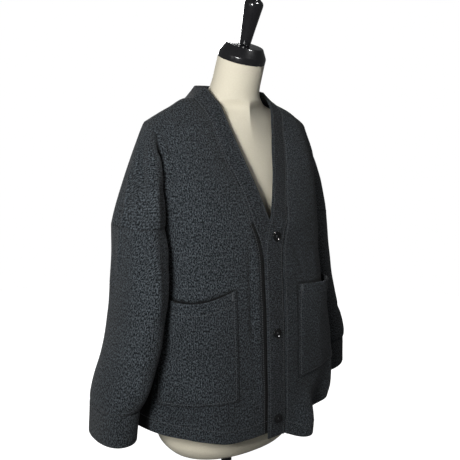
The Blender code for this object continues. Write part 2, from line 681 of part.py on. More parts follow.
def pocket_grid(side, panel):
    """The front's own points within the pocket's outline, moved outwards, and their normals."""
    bottom, top_inner, top_outer, dip, gape = POCKETS[side][1:]
    heights = np.linspace(bottom, max(top_inner, top_outer), 12)
    edges = np.array([pocket_sides(side, z) for z in heights])
    columns = [s for s in front_columns() if edges[:, 0].min() < s < edges[:, 1].max()]
    beyond = 9.0                # clipped to the pocket's outline below
    grid, normals = [], []
    for level in [-beyond, *np.linspace(0, 1, SKIRT_ROWS + 1), beyond]:
        row, row_normals = [], []
        for column in [-beyond, *columns, beyond]:
            share = float(np.clip(column, 0, 1))
            for _ in range(OUTLINE_PASSES):
                low = hem_height(side, VALLEY_TURN * share)
                z = low + (DROP_Z - low) * level
                level_z = np.clip(z, bottom, top_inner)
                ends = [float(np.interp(level_z, heights, edges[:, k])) for k in (0, 1)]
                share = float(np.clip(column, *ends))
                across = (share - ends[0]) / (ends[1] - ends[0])
                top = top_inner + (top_outer - top_inner) * across - dip * math.sin(math.pi * across)
                z = float(np.clip(z, bottom, top))
            low = hem_height(side, VALLEY_TURN * share)
            point, normal = panel(share, (z - low) / (DROP_Z - low))
            height = (z - bottom) / (top - bottom)
            swell = gape * math.sin(math.pi * across) ** MOUTH_ROUND * height**3
            row.append(point + normal * (POCKET_LAYER + swell))
            row_normals.append(normal)
        grid.append(row)
        normals.append(row_normals)
    return np.asarray(grid), np.asarray(normals)


def front_panel(side, garment, normals):
    """Reader of the front's facets: middle point and outward normal at a share and a rise."""
    lines = front_columns()
    levels = np.linspace(0, 1, SKIRT_ROWS + 1)
    points = front_skirt(side, lines[None, :], levels[:, None])
    flip = np.array((side, 1.0, 1.0))
    outward = np.array([[normals[garment.corner(p * flip)] * flip for p in row] for row in points])

    def at(share, rise):
        column = int(np.clip(np.searchsorted(lines, share) - 1, 0, len(lines) - 2))
        row = int(np.clip(math.floor(rise * SKIRT_ROWS), 0, SKIRT_ROWS - 1))
        across = (share - lines[column]) / (lines[column + 1] - lines[column])
        up = rise * SKIRT_ROWS - row
        found = []
        for values in (points, outward):
            below = values[row, column] + (values[row, column + 1] - values[row, column]) * across
            above = values[row + 1, column] + (values[row + 1, column + 1]
                                               - values[row + 1, column]) * across
            found.append(below + (above - below) * up)
        return found
    return at


def build_pocket(side, garment, garment_normals, knit):
    name = "pocket_" + SIDE_NAME[side]
    grid, outward = pocket_grid(side, front_panel(side, garment, garment_normals))
    surface = Surface()
    surface.patch(name, grid, side)
    flip = np.array((side, 1.0, 1.0))
    normals = np.zeros((len(surface.points), 3))
    for point, normal in zip((grid * flip).reshape(-1, 3), (outward * flip).reshape(-1, 3)):
        normals[surface.corner(point)] = normal
    wall(name, surface.points, normals, surface.faces, CLOTH, knit)


def turned(name, profile, material, place, steps=24):
    """Profile of radius and height turned about its own axis."""
    mesh = bpy.data.meshes.new(name)
    points = [(radius, 0.0, height) for radius, height in reversed(profile)]
    mesh.from_pydata(points, [(k, k + 1) for k in range(len(points) - 1)], [])
    made = bpy.data.objects.new(name, mesh)
    made.matrix_world = place
    collection.objects.link(made)
    screw = made.modifiers.new("turn", "SCREW")
    screw.steps = screw.render_steps = steps
    screw.use_merge_vertices = True
    screw.merge_threshold = 0.00001
    mesh.materials.append(material)
    return made


def build_button(number, height, shiny):
    """Dished button with four thread holes, flat on the upper band."""
    (seam, edge), above, below = (placket_row(LEFT, height + step) for step in (0.0, 0.01, -0.01))
    middle = blend_rows([(seam, edge)], [0.5])[0, 0]
    outward = Vector(np.cross(seam - edge, above[0] + above[1] - below[0] - below[1])).normalized()
    place = Matrix.Translation(Vector(middle) + outward * (BAND_CLOTH / 2 + SEAT)
                               + Vector((0, 0, SIDE_NECK_Z)))
    place = place @ outward.to_track_quat("Z", "Y").to_matrix().to_4x4()
    button = turned(f"button_{number}", BUTTON_PROFILE, shiny, place, 16)
    for k in range(4):
        corner = math.radians(45 + 90 * k)
        bpy.ops.mesh.primitive_cylinder_add(vertices=6, radius=BUTTON_HOLE, depth=0.012)
        drill = bpy.context.object
        drill.name = f"drill_{number}_{k}"
        out = Vector((math.cos(corner), math.sin(corner), 0)) * BUTTON_HOLE_OUT
        drill.matrix_world = place @ Matrix.Translation(out)
        drill.hide_render = True
        drill.display_type = "WIRE"
        for owner in list(drill.users_collection):
            owner.objects.unlink(drill)
        cutters.objects.link(drill)
        cut = button.modifiers.new(f"hole {k}", "BOOLEAN")
        cut.operation = "DIFFERENCE"
        cut.object = drill


# ---------------------------------------------------------------- dress form and stand
def neck_axis(way):
    """Point on the neck's leaning axis."""
    lean = math.radians(NECK_LEAN)
    foot = np.asarray(NECK_FOOT)
    return foot + way * np.array((0.0, -math.sin(lean), math.cos(lean)))


def build_form(ivory):
    """Smooth torso and neck, lofted from level sections and tilting neck rings."""
    turns = np.radians(np.linspace(0, 360, FORM_COLUMNS + 1)[:-1])
    rings = []
    shoulders = [row[0] for row in FORM_SECTIONS if row[0] > SHOULDER_TOP_Z]
    heights = np.concatenate([[row[0] for row in FORM_SECTIONS[:2]],
                              np.linspace(-0.73, SHOULDER_TOP_Z, FORM_ROWS), shoulders])
    for z in heights:
        half, front, back, middle, power = read(FORM_SECTIONS, z)
        x = half * np.sign(np.cos(turns)) * np.abs(np.cos(turns)) ** power
        depth = np.where(np.sin(turns) < 0, front, back)
        y = middle + depth * np.sign(np.sin(turns)) * np.abs(np.sin(turns)) ** power
        rings.append(np.stack([x, y, np.full_like(x, z)], axis=1))
    for way, radius, tilt in NECK_RINGS:
        lean = math.radians(tilt)
        flat = np.stack([np.cos(turns), np.sin(turns) * math.cos(lean), np.sin(turns) * math.sin(lean)],
                        axis=1)
        rings.append(neck_axis(way) + radius * flat)
    count = FORM_COLUMNS
    polygons = [list(range(count))[::-1]]
    for i in range(len(rings) - 1):
        for j in range(count):
            k = (j + 1) % count
            polygons.append([i * count + j, i * count + k, (i + 1) * count + k, (i + 1) * count + j])
    polygons.append([(len(rings) - 1) * count + j for j in range(count)])
    mesh_object("form_torso", np.vstack(rings), polygons, ivory)


def build_stand(lacquer):
    """Cap and finial on the neck; pole and base under the torso."""
    lean = Matrix.Rotation(math.radians(NECK_LEAN), 4, "X")
    cap_foot = Vector(neck_axis(NECK_RINGS[-1][0] + SEAT)) + Vector((0, 0, SIDE_NECK_Z))
    turned("form_cap", CAP_PROFILE, lacquer, Matrix.Translation(cap_foot) @ lean, 32)
    finial_foot = neck_axis(NECK_RINGS[-1][0] + CAP_PROFILE[-1][1] + 2 * SEAT)
    finial_place = Matrix.Translation(Vector(finial_foot) + Vector((0, 0, SIDE_NECK_Z))) @ lean
    turned("form_finial", FINIAL_PROFILE, lacquer, finial_place, 18)
    turned("form_base", BASE_PROFILE, lacquer, Matrix.Identity(4), 40)
    low = BASE_PROFILE[-1][1] + SEAT
    high = SIDE_NECK_Z + FORM_SECTIONS[0][0] - SEAT
    bpy.ops.mesh.primitive_cylinder_add(vertices=24, radius=POLE_RADIUS, depth=high - low,
                                        location=(0, 0, (low + high) / 2))
    pole = bpy.context.object
    pole.name = pole.data.name = "form_pole"
    pole.data.materials.append(lacquer)
    for owner in list(pole.users_collection):
        owner.objects.unlink(pole)
    collection.objects.link(pole)


# ---------------------------------------------------------------- stage of the build
def new_material(name, colour, roughness, metallic=0.0):
    made = bpy.data.materials.new(name)
    made.use_nodes = True
    shader = made.node_tree.nodes["Principled BSDF"]
    shader.inputs["Base Color"].default_value = (*colour, 1.0)
    shader.inputs["Roughness"].default_value = roughness
    shader.inputs["Metallic"].default_value = metallic
    return made


for old in list(bpy.data.objects):
    bpy.data.objects.remove(old, do_unlink=True)
collection = bpy.data.collections.new("Cardigan on dress form")
cutters = bpy.data.collections.new("Cutters")
bpy.context.scene.collection.children.link(collection)
bpy.context.scene.collection.children.link(cutters)
knit_material = new_material("charcoal knit", CLOTH_COLOUR, 0.95)
ivory_material = new_material("ivory form cloth", IVORY, 0.8)
black_material = new_material("black lacquer", BLACK, 0.25)

sewn = sewn_garment()
sewn_normals = build_walls(sewn, knit_material)
for each_side in (RIGHT, LEFT):
    build_sleeve(each_side, knit_material)
    build_pocket(each_side, sewn, sewn_normals, knit_material)
for each_number, each_height in enumerate(BUTTON_HEIGHTS, start=1):
    build_button(each_number, each_height, black_material)
build_form(ivory_material)
build_stand(black_material)
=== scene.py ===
"""Looks of a drop-shoulder cardigan in heavy knit on a dress form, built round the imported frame.

Metres and degrees unless a table says mm, in the frame's own axes: +Z is up, the front faces -Y and
the wearer's right side is -X.
Heights in the garment's tables are measured from the side neck point. The cloth repeats the cut of
the solids at a finer step and adds the creases, the grain of the knit, the sewing and the buttons.
"""
import json
import math

import bpy
import numpy as np
from mathutils import Matrix, Vector

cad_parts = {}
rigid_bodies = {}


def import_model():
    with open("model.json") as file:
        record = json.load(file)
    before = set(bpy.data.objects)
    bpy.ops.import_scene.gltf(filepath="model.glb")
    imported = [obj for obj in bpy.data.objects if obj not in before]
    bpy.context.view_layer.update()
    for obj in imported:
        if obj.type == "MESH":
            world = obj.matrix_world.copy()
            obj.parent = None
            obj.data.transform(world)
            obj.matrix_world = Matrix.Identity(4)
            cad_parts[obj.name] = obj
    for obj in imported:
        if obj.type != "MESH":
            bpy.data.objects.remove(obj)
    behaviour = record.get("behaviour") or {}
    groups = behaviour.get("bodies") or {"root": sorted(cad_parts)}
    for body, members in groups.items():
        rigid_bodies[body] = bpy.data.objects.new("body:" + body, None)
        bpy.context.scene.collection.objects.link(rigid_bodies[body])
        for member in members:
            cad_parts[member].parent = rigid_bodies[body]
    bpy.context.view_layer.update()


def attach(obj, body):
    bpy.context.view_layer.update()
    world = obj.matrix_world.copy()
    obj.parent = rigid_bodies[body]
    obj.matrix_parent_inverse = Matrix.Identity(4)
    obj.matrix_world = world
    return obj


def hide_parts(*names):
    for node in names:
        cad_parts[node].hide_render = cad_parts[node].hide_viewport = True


# ---------------------------------------------------------------- driving sizes
SIDE_NECK_Z = 0.985          # side neck point above the floor
CLOTH = 0.003                # one layer of the knit
BAND_CLOTH = 0.0046          # the bands are double
SEAM_GAP = 0.00040           # clear space between two cut pieces
BODY_LENGTH = 0.700          # side neck point to hem
DROP_Z = -0.254              # drop-shoulder seam and underarm
BAND_LAYER = 0.0061          # how far the upper band lies over the lower one
BAND_LIFT_START = -0.235     # the upper band starts to sink here
BAND_LIFT_END = -0.110       # and has sunk to the chest here
LIFT_TAKEN = 0.3             # rise over which the neckline takes up the band's lift
BAND_CROWN = 0.02            # rise of a band over its own width
LIFT_FADE = 0.085            # width over which the left front sinks from the upper band
NECK_DRAW = 2.5              # exponent by which the front follows the neckline near its band
TIP_SPREAD = 60.0            # turn over which the drop seam follows the overarm line, in degrees
VALLEY_DRAW = 5              # exponent by which the drop seam meets the fold at the side
VALLEY_TURN = 80.0           # turn of the fold between body and sleeve, in degrees
SLEEVE_ROUND = 0.90          # exponent of the sleeve's rings, 1 being an ellipse
CHEST_ROUND = 1.2            # exponent of the curve from the chest over the shoulder
SLEEVE_VALLEY = 158.0        # turn on the sleeve's own ring where it meets the body
SLEEVE_BODY_GAP = 0.0042     # least distance of the sleeve's and the body's middle surfaces
POCKET_ROOM = 0.0060         # further distance where a pocket lies between them
POCKET_ROOM_ENDS = (-0.40, -0.32)       # heights between which it fades
VALLEY_CLOSES = (0.40, 0.86)            # share of the way up over which the valley closes
LIP_TURN = 64.0              # turn of the body's edge beside the valley
SLEEVE_LIP = 112.0           # turn of the sleeve's edge beside the valley
CUFF_HEIGHT = 0.064
TAPER_ABOVE = 0.09           # the sleeve takes its own ring this far under the drop seam
POCKET_LAYER = 0.0036        # pocket's middle surface over the front's
MOUTH_ROUND = 1.3            # exponent of a pocket mouth's gape over its width
BUTTON_HEIGHTS = (-0.287, -0.480, -0.664)

# columns of the back's upper edge on either side of the neck corner
SHOULDER_COLUMNS = 12
NECK_COLUMNS = 5
NECK_SHARE = NECK_COLUMNS / (NECK_COLUMNS + SHOULDER_COLUMNS)

# Body tube: height, half width, depth to the front, depth to the back, exponent of roundness
BODY_SECTIONS = (
    (-0.720, 0.254, 0.176, 0.152, 0.90),
    (-0.620, 0.246, 0.175, 0.147, 0.80),
    (-0.520, 0.230, 0.170, 0.141, 0.70),
    (-0.420, 0.208, 0.163, 0.136, 0.64),
    (-0.330, 0.200, 0.154, 0.132, 0.64),
    (-0.254, 0.200, 0.145, 0.128, 0.68),
)
# Hem: turn from the centre front, level on the wearer's right half, level on the left half
HEM_LEVELS = (
    (0.0, -0.697, -0.706),
    (8.0, -0.698, -0.7225),
    (16.0, -0.699, -0.7215),
    (34.0, -0.687, -0.7015),
    (55.0, -0.677, -0.688),
    (90.0, -0.672, -0.672),
    (135.0, -0.688, -0.688),
    (180.0, -0.694, -0.694),
)
# Standing folds of the skirt: side, turn, half width in degrees, depth at the hem, upper end
SKIRT_FOLDS = (
    (1, 16.0, 6.5, 0.028, -0.602),
    (1, 34.0, 9.0, -0.022, -0.600),
    (1, 60.0, 9.0, 0.006, -0.340),
    (-1, 30.0, 12.0, 0.004, -0.420),
    (-1, 118.0, 11.0, 0.012, -0.380),
    (-1, 152.0, 10.0, 0.018, -0.420),
    (1, 138.0, 11.0, 0.020, -0.400),
    (1, 108.0, 9.0, -0.008, -0.420),
)
# Closed front up to the break: band seam z, seam x, free edge z, free edge x
PLACKET = (
    (-0.720, 0.0225, -0.720, -0.0225),
    (-0.500, 0.0225, -0.500, -0.0225),
    (-0.390, 0.0225, -0.390, -0.0225),
    (-0.345, 0.0225, -0.345, -0.0225),
    (-0.315, 0.0240, -0.310, -0.0212),
    (-0.285, 0.0310, -0.272, -0.0135),
    (-0.254, 0.0430, -0.238, 0.0015),
)
# Neckline up to the shoulder seam: rise from 0 to 1, band seam x, y, z, free edge x, y, z
NECKLINE = {
    -1: (
        (0.28, 0.0525, -0.1260, -0.195, 0.0225, -0.1300, -0.178),
        (0.55, 0.0730, -0.1000, -0.135, 0.0410, -0.1080, -0.118),
        (0.78, 0.0850, -0.0730, -0.078, 0.0550, -0.0800, -0.058),
        (0.92, 0.0900, -0.0440, -0.036, 0.0640, -0.0530, -0.010),
        (1.00, 0.0950, -0.0080, -0.006, 0.0720, -0.0190, 0.021),
    ),
    1: (
        (0.28, 0.0600, -0.1220, -0.192, 0.0210, -0.1260, -0.178),
        (0.55, 0.0830, -0.0950, -0.132, 0.0420, -0.1000, -0.118),
        (0.78, 0.1000, -0.0630, -0.070, 0.0640, -0.0680, -0.056),
        (0.92, 0.1120, -0.0360, -0.022, 0.0790, -0.0400, -0.009),
        (1.00, 0.1130, -0.0080, -0.006, 0.0820, -0.0100, 0.018),
    ),
}
# Back neck: share of the way to the centre, seam x, y, z, free edge x, y, z
BACK_NECK = (
    (0.40, 0.0860, 0.0470, -0.003, 0.0690, 0.0280, 0.027),
    (0.72, 0.0500, 0.0780, 0.000, 0.0430, 0.0570, 0.031),
    (1.00, 0.0000, 0.0890, 0.001, 0.0000, 0.0680, 0.032),
)
# Shoulder seam beyond the neckline and its run down over the arm: share, x, y, z
SHOULDER_SEAM = (
    (0.5, 0.1560, 0.0020, -0.0270),
    (1.0, 0.2030, 0.0040, -0.0500),
)
OVERARM = {
    -1: (
        (0.00, 0.2030, 0.0040, -0.0500),
        (0.20, 0.2160, 0.0020, -0.0760),
        (0.45, 0.2330, -0.0040, -0.1180),
        (0.72, 0.2560, -0.0140, -0.1830),
        (1.00, 0.2800, -0.0240, -0.2540),
    ),
    1: (
        (0.00, 0.2030, 0.0040, -0.0500),
        (0.20, 0.2160, 0.0050, -0.0760),
        (0.45, 0.2320, 0.0060, -0.1180),
        (0.72, 0.2530, 0.0080, -0.1830),
        (1.00, 0.2760, 0.0100, -0.2540),
    ),
}
# Sleeve: height, middle x, middle y, half width, half depth
SLEEVE_SECTIONS = {
    -1: (
        (-0.254, 0.2420, -0.0300, 0.0385, 0.0740),
        (-0.330, 0.2440, -0.0350, 0.0400, 0.0820),
        (-0.420, 0.2520, -0.0400, 0.0410, 0.0850),
        (-0.520, 0.2740, -0.0450, 0.0410, 0.0850),
        (-0.580, 0.2950, -0.0440, 0.0420, 0.0800),
        (-0.606, 0.3040, -0.0420, 0.0400, 0.0680),
    ),
    1: (
        (-0.254, 0.2390, 0.0100, 0.0360, 0.0620),
        (-0.330, 0.2440, 0.0100, 0.0390, 0.0660),
        (-0.420, 0.2580, 0.0080, 0.0400, 0.0660),
        (-0.520, 0.2840, 0.0040, 0.0410, 0.0640),
        (-0.580, 0.3030, 0.0000, 0.0410, 0.0600),
        (-0.606, 0.3080, 0.0000, 0.0380, 0.0540),
    ),
}
# Cuff: drop below the sleeve, shift outwards, shift forwards, share of the sleeve's last size
CUFF_SECTIONS = (
    (0.000, 0.0000, 0.0000, 1.00),
    (0.016, 0.0020, 0.0010, 0.98),
    (0.066, 0.0060, 0.0020, 0.95),
)
CUFF_SHIFT = {-1: 0.002, 1: 0.024}      # each sleeve's own reach, right and left
CUFF_SAG = {-1: 0.0, 1: 0.034}          # how much lower the cuff's inner edge hangs
SEAM_SAG = 0.5                          # the share of it at the cuff's seam
SAG_START = -0.46                       # height at which the sleeve starts to sag
# Patch pocket, right and left: inner edge x, bottom, top at the inner and outer edge, dip of the
# mouth and how far it gapes
POCKET_WIDTH = 0.172
POCKETS = {
    -1: (0.089, -0.610, -0.380, -0.392, 0.016, 0.010),
    1: (0.062, -0.594, -0.388, -0.394, 0.004, 0.013),
}

# Dress form: height from the side neck point, half width, front, back, middle y, roundness
FORM_SECTIONS = (
    (-0.775, 0.150, 0.105, 0.105, 0.000, 0.90),
    (-0.760, 0.164, 0.116, 0.117, 0.000, 0.90),
    (-0.720, 0.172, 0.122, 0.124, 0.000, 0.90),
    (-0.560, 0.168, 0.120, 0.120, 0.000, 0.90),
    (-0.400, 0.138, 0.108, 0.096, 0.000, 0.90),
    (-0.250, 0.152, 0.120, 0.102, 0.000, 0.90),
    (-0.170, 0.162, 0.108, 0.104, 0.000, 0.94),
    (-0.110, 0.172, 0.092, 0.092, 0.000, 1.10),
    (-0.075, 0.181, 0.083, 0.080, 0.000, 1.45),
    (-0.058, 0.185, 0.079, 0.072, 0.000, 1.65),
    (-0.045, 0.182, 0.077, 0.066, 0.000, 1.80),
    (-0.0368, 0.170, 0.0755, 0.063, 0.000, 1.90),
    (-0.0298, 0.156, 0.0735, 0.058, -0.001, 2.05),
    (-0.0242, 0.140, 0.0715, 0.056, -0.002, 2.10),
    (-0.0175, 0.118, 0.0700, 0.055, -0.003, 2.10),
    (-0.0115, 0.092, 0.0680, 0.054, -0.005, 1.70),
    (-0.0040, 0.076, 0.0655, 0.054, -0.008, 1.25),
)
# Neck: way up its leaning axis, radius, tilt of the ring in degrees
NECK_RINGS = (
    (0.004, 0.0605, 4.0),
    (0.018, 0.0545, 14.0),
    (0.035, 0.0520, 21.0),
    (0.060, 0.0512, 21.0),
    (0.088, 0.0505, 21.0),
)
NECK_FOOT = (0.0, -0.011, -0.002)
NECK_LEAN = 21.0             # the neck leans forward, degrees
NECK_SMOOTHING = 10          # rounds in which the neck runs into the shoulders
NECK_SLOPES = ((-0.075, -0.045), (0.020, 0.040))        # heights between which they work
SHOULDER_TOP_Z = -0.110      # the form's own sections are taken as they are above this
# Turned pieces: radius and height along their axis
CAP_PROFILE = (
    (0.0, 0.0), (0.0503, 0.0), (0.0506, 0.0010), (0.0506, 0.0110), (0.0495, 0.0135),
    (0.0425, 0.0260), (0.0405, 0.0295), (0.0390, 0.0305), (0.0, 0.0305),
)
FINIAL_PROFILE = (
    (0.0, 0.0), (0.0115, 0.0), (0.0120, 0.0060), (0.0150, 0.0360), (0.0188, 0.0700),
    (0.0200, 0.0800), (0.0196, 0.0850), (0.0165, 0.0890), (0.0125, 0.0910), (0.0120, 0.0935),
    (0.0128, 0.0965), (0.0118, 0.1010), (0.0070, 0.1060), (0.0, 0.1080),
)
BASE_PROFILE = (
    (0.0, 0.0), (0.1600, 0.0), (0.1650, 0.0040), (0.1650, 0.0120), (0.1600, 0.0180),
    (0.1480, 0.0205), (0.0400, 0.0240), (0.0300, 0.0270), (0.0250, 0.0400), (0.0220, 0.0430),
    (0.0, 0.0430),
)
BUTTON_PROFILE = (
    (0.0, 0.0), (0.0080, 0.0), (0.0097, 0.0008), (0.0102, 0.0020), (0.0099, 0.0034),
    (0.0090, 0.0040), (0.0078, 0.0036), (0.0066, 0.0026), (0.0, 0.0024),
)
BUTTON_HOLE = 0.0010         # radius of a thread hole
BUTTON_HOLE_OUT = 0.0022     # its distance from the middle
POLE_RADIUS = 0.0125
SEAT = 0.0003                # clear space between pieces that stand on each other

RIGHT, LEFT = -1, 1
SIDE_NAME = {RIGHT: "right", LEFT: "left"}
TO_NECK = np.array((0.0, 0.0, SIDE_NECK_Z))
MM = 0.001                   # the tables of creases are in millimetres

# ---------------------------------------------------------------- fine steps of the visible cloth
FRONT_COLUMNS = 74           # band seam to the fold at the side
UNDER_COLUMNS = 8            # fold to the side seam
OVERARM_COLUMNS = 44         # fold to the overarm line
HEM_TO_DROP_ROWS = 112
DROP_TO_SHOULDER_ROWS = 58
BAND_STEPS = 10
BACK_NECK_COLUMNS = 26
SLEEVE_STEPS = 88            # from the drop seam to the wrist
CUFF_STEPS = 16
SLEEVE_TURNS = 108           # round the open part of the sleeve
CORNER_REACH = 16.0          # columns beside the neck corner over which the back is drawn smooth
CORNER_SLOPES = ((0.05, 0.35), (0.86, 1.0))     # rises over which this starts and ends
CORNER_SMOOTHING = 160       # rounds
EDGE_ROUND = 0.45            # share of the thickness by which a free edge is rounded
SEAM_ROUND = 0.16            # the same where two pieces are sewn together
SEAM_OPEN = 0.00016          # clear space of a sewn seam
CUFF_CLOTH = 0.0042
WELD_STEPS = 2e5             # points nearer than one step in this many to a metre are one
WALL_LAYERS = (              # share of the thickness outwards, share of the edge's rounding
    (0.5, 1.0), (0.36, 0.28), (0.0, 0.0), (-0.36, 0.28), (-0.5, 1.0))
UNDER_TURNS = 13             # round the part of the sleeve that lies on the body
POCKET_COLUMNS = 55
POCKET_ROWS = 67
FORM_TURNS = 96
FORM_RINGS = 190
SKIRT_PATCHES = (0, 4, 5)    # patches with a hem, counted from the front's skirt
BAND_PATCH = 3               # the band's patch, counted in the same way

# Grain of the part over the arm: place across and along the panel, and its run in both
LOBE_EDGE, LOBE_START = 0.430, 0.3
LOBE_TO_SEAM, LOBE_ROUND_ARM = 0.225, 0.190
BAND_FLAT = 0.045            # flat width of a band

# Painted shade in the knit's colour, where shade falls in folds and recesses: shares of the front
# in the valley, its shift up the yoke, rises over which it ends, shares over the arm, beside the
# band and at the back; turns on the sleeve; shares of a pocket's width and heights over its mouth;
# its sewn edges
VALLEY_SHADE = (0.884, 0.902)
YOKE_SHADE_SHIFT = 0.066
YOKE_SHADE_ENDS = (0.46, 0.70)
LOBE_SHADE = (0.02, 0.09)
BAND_SHADE = (0.010, 0.030)
BACK_SHADE = (0.93, 0.97)
INNER_SHADE = (136.0, 148.0)
MOUTH_SHADE_SIDES = ((-0.01, 0.03), (0.97, 1.01))
MOUTH_SHADE_HEIGHTS = ((-0.030, -0.016), (0.001, 0.006))
POCKET_SHADE = (0.026, 0.020)
POCKET_SEAM_SHADE = 0.8

# Creases on the sewn panels: chart, side, path of chart coordinates, half width and rise in mm
# (a trough's rise is below 0)
CREASES = (
    ("yoke", RIGHT, ((1, -0.02), (1, 0.16), (1, 0.34), (0.985, 0.5), (0.97, 0.7)), 7.5, -14),
    ("yoke", LEFT, ((1, -0.02), (1, 0.2), (0.99, 0.42), (0.965, 0.66), (0.93, 0.8)), 7.5, -12),
    ("back", RIGHT, ((1, -0.02), (1, 0.2), (0.99, 0.4), (0.97, 0.56)), 7, -7.5),
    ("back", LEFT, ((1, -0.02), (1, 0.22), (0.985, 0.46), (0.96, 0.62)), 7, -7.5),
    ("skirt", RIGHT, ((7.4, -0.268), (7.2, -0.36), (7, -0.5), (6.8, -0.7)), 5, -6.2),
    ("yoke", RIGHT, ((0.93, -0.03), (0.93, 0.18), (0.92, 0.38), (0.9, 0.56)), 13, 5),
    ("lobe", RIGHT, ((0.13, 0.6), (0.15, 0.36), (0.16, 0.16), (0.16, -0.03)), 12, 6),
    ("skirt", RIGHT, ((75, -0.246), (75, -0.32), (76, -0.38)), 11, 4),
    ("yoke", LEFT, ((0.93, -0.03), (0.925, 0.22), (0.9, 0.46), (0.87, 0.66)), 12, 4.5),
    ("lobe", LEFT, ((0.14, 0.64), (0.16, 0.36), (0.17, 0.14), (0.17, -0.03)), 11, 5),
    ("yoke", RIGHT, ((0.14, 0.66), (0.15, 1), (0.16, 1.34)), 30, 9.5),
    ("yoke", LEFT, ((0.5, 0.5), (0.55, 1), (0.6, 1.5)), 48, 7.5),
    ("yoke", LEFT, ((0.92, 0.7), (0.94, 1), (0.95, 1.3)), 30, 4.5),
    ("lobe", RIGHT, ((-0.2, 1), (0.2, 1), (0.6, 1), (1, 1)), 22, -1.5),
    ("lobe", RIGHT, ((0.1, 0.88), (0.4, 0.88), (0.7, 0.88)), 15, 3),
    ("skirt", LEFT, ((49, -0.5), (51, -0.58), (50, -0.66), (48, -0.72)), 20, 9),
    ("yoke", RIGHT, ((0.9, 0.34), (0.74, 0.22), (0.55, 0.15)), 12, -2.2),
    ("yoke", RIGHT, ((0.86, 0.16), (0.7, 0.06), (0.56, 0.01)), 11, -1.8),
    ("yoke", RIGHT, ((0.93, 0.6), (0.84, 0.44), (0.8, 0.3)), 10, 2.2),
    ("yoke", RIGHT, ((0.4, 0.92), (0.44, 0.72), (0.42, 0.52)), 16, -1.8),
    ("skirt", RIGHT, ((19, -0.386), (11, -0.366), (5.5, -0.352)), 6, -1.8),
    ("skirt", RIGHT, ((19, -0.372), (11, -0.353), (5.5, -0.341)), 5.5, 1.5),
    ("skirt", RIGHT, ((60, -0.345), (44, -0.366), (30, -0.362), (18, -0.35)), 11, -2.2),
    ("skirt", RIGHT, ((66, -0.3), (50, -0.318), (36, -0.322)), 12, 1.6),
    ("skirt", RIGHT, ((10, -0.7), (12, -0.66), (10, -0.625)), 10, 2),
    ("skirt", RIGHT, ((44, -0.69), (46, -0.655), (42, -0.622)), 12, -2.2),
    ("skirt", RIGHT, ((27, -0.56), (31, -0.5), (29, -0.44)), 18, 1.8),
    ("skirt", RIGHT, ((9, -0.5), (7, -0.44), (9, -0.4)), 10, -1.4),
    ("yoke", LEFT, ((0.94, 0.6), (0.86, 0.42), (0.84, 0.24), (0.88, 0.05)), 11, 3),
    ("yoke", LEFT, ((0.82, 0.7), (0.72, 0.48), (0.7, 0.24), (0.74, 0.02)), 13, -2.6),
    ("yoke", LEFT, ((0.5, 0.86), (0.46, 0.62), (0.5, 0.34)), 17, 1.8),
    ("yoke", LEFT, ((0.1, 0.2), (0.22, 0.1), (0.36, 0.06)), 8, -1.8),
    ("skirt", LEFT, ((9, -0.3), (13, -0.345), (17, -0.385)), 9, -2.2),
    ("skirt", LEFT, ((22, -0.29), (30, -0.33), (34, -0.372)), 13, 2.4),
    ("skirt", LEFT, ((60, -0.3), (50, -0.335), (44, -0.37)), 11, -2.6),
    ("skirt", LEFT, ((7, -0.61), (9, -0.54), (8, -0.47)), 8, -2),
    ("skirt", LEFT, ((30, -0.56), (27, -0.5), (30, -0.44)), 15, 2.2),
    ("skirt", LEFT, ((58, -0.64), (62, -0.56), (58, -0.47)), 12, 3),
    ("skirt", RIGHT, ((150, -0.27), (138, -0.33), (128, -0.372)), 15, -2.8),
    ("skirt", RIGHT, ((172, -0.36), (156, -0.392), (138, -0.41)), 12, -2.4),
    ("skirt", RIGHT, ((170, -0.34), (152, -0.368), (136, -0.384)), 12, 2),
    ("skirt", LEFT, ((146, -0.262), (136, -0.312), (120, -0.35)), 14, -2.6),
    ("skirt", LEFT, ((176, -0.42), (160, -0.44), (144, -0.432)), 13, -2.2),
    ("skirt", LEFT, ((168, -0.56), (164, -0.48), (170, -0.4)), 18, 2.2),
    ("back", RIGHT, ((0.85, 0.3), (0.72, 0.18), (0.6, 0.02)), 13, -2.8),
    ("back", RIGHT, ((0.62, 0.86), (0.6, 0.6), (0.66, 0.34)), 17, 2.2),
    ("back", LEFT, ((0.86, 0.34), (0.76, 0.22), (0.66, 0.1)), 12, -2.6),
    ("back", LEFT, ((0.55, 0.9), (0.57, 0.64), (0.52, 0.4)), 16, 2),
    ("back", LEFT, ((0.2, 0.7), (0.22, 0.4), (0.18, 0.1)), 20, -1.8),
    ("lobe", RIGHT, ((0.52, 1), (0.64, 0.94), (0.8, 0.8), (0.9, 0.5), (0.93, 0.02)), 5, 3.6),
    ("lobe", RIGHT, ((0.08, 0.9), (0.16, 0.72), (0.32, 0.46), (0.39, 0.2), (0.4, -0.03)), 8.5, 6.6),
    ("lobe", RIGHT, ((0.4, 0.84), (0.56, 0.54), (0.6, 0.28), (0.6, -0.03)), 12.5, -6.6),
    ("lobe", LEFT, ((0.3, 0.84), (0.36, 0.5), (0.4, 0.04)), 10, 2.2),
    ("lobe", LEFT, ((0.6, 0.8), (0.66, 0.4), (0.7, 0.04)), 9, -2.2),
)
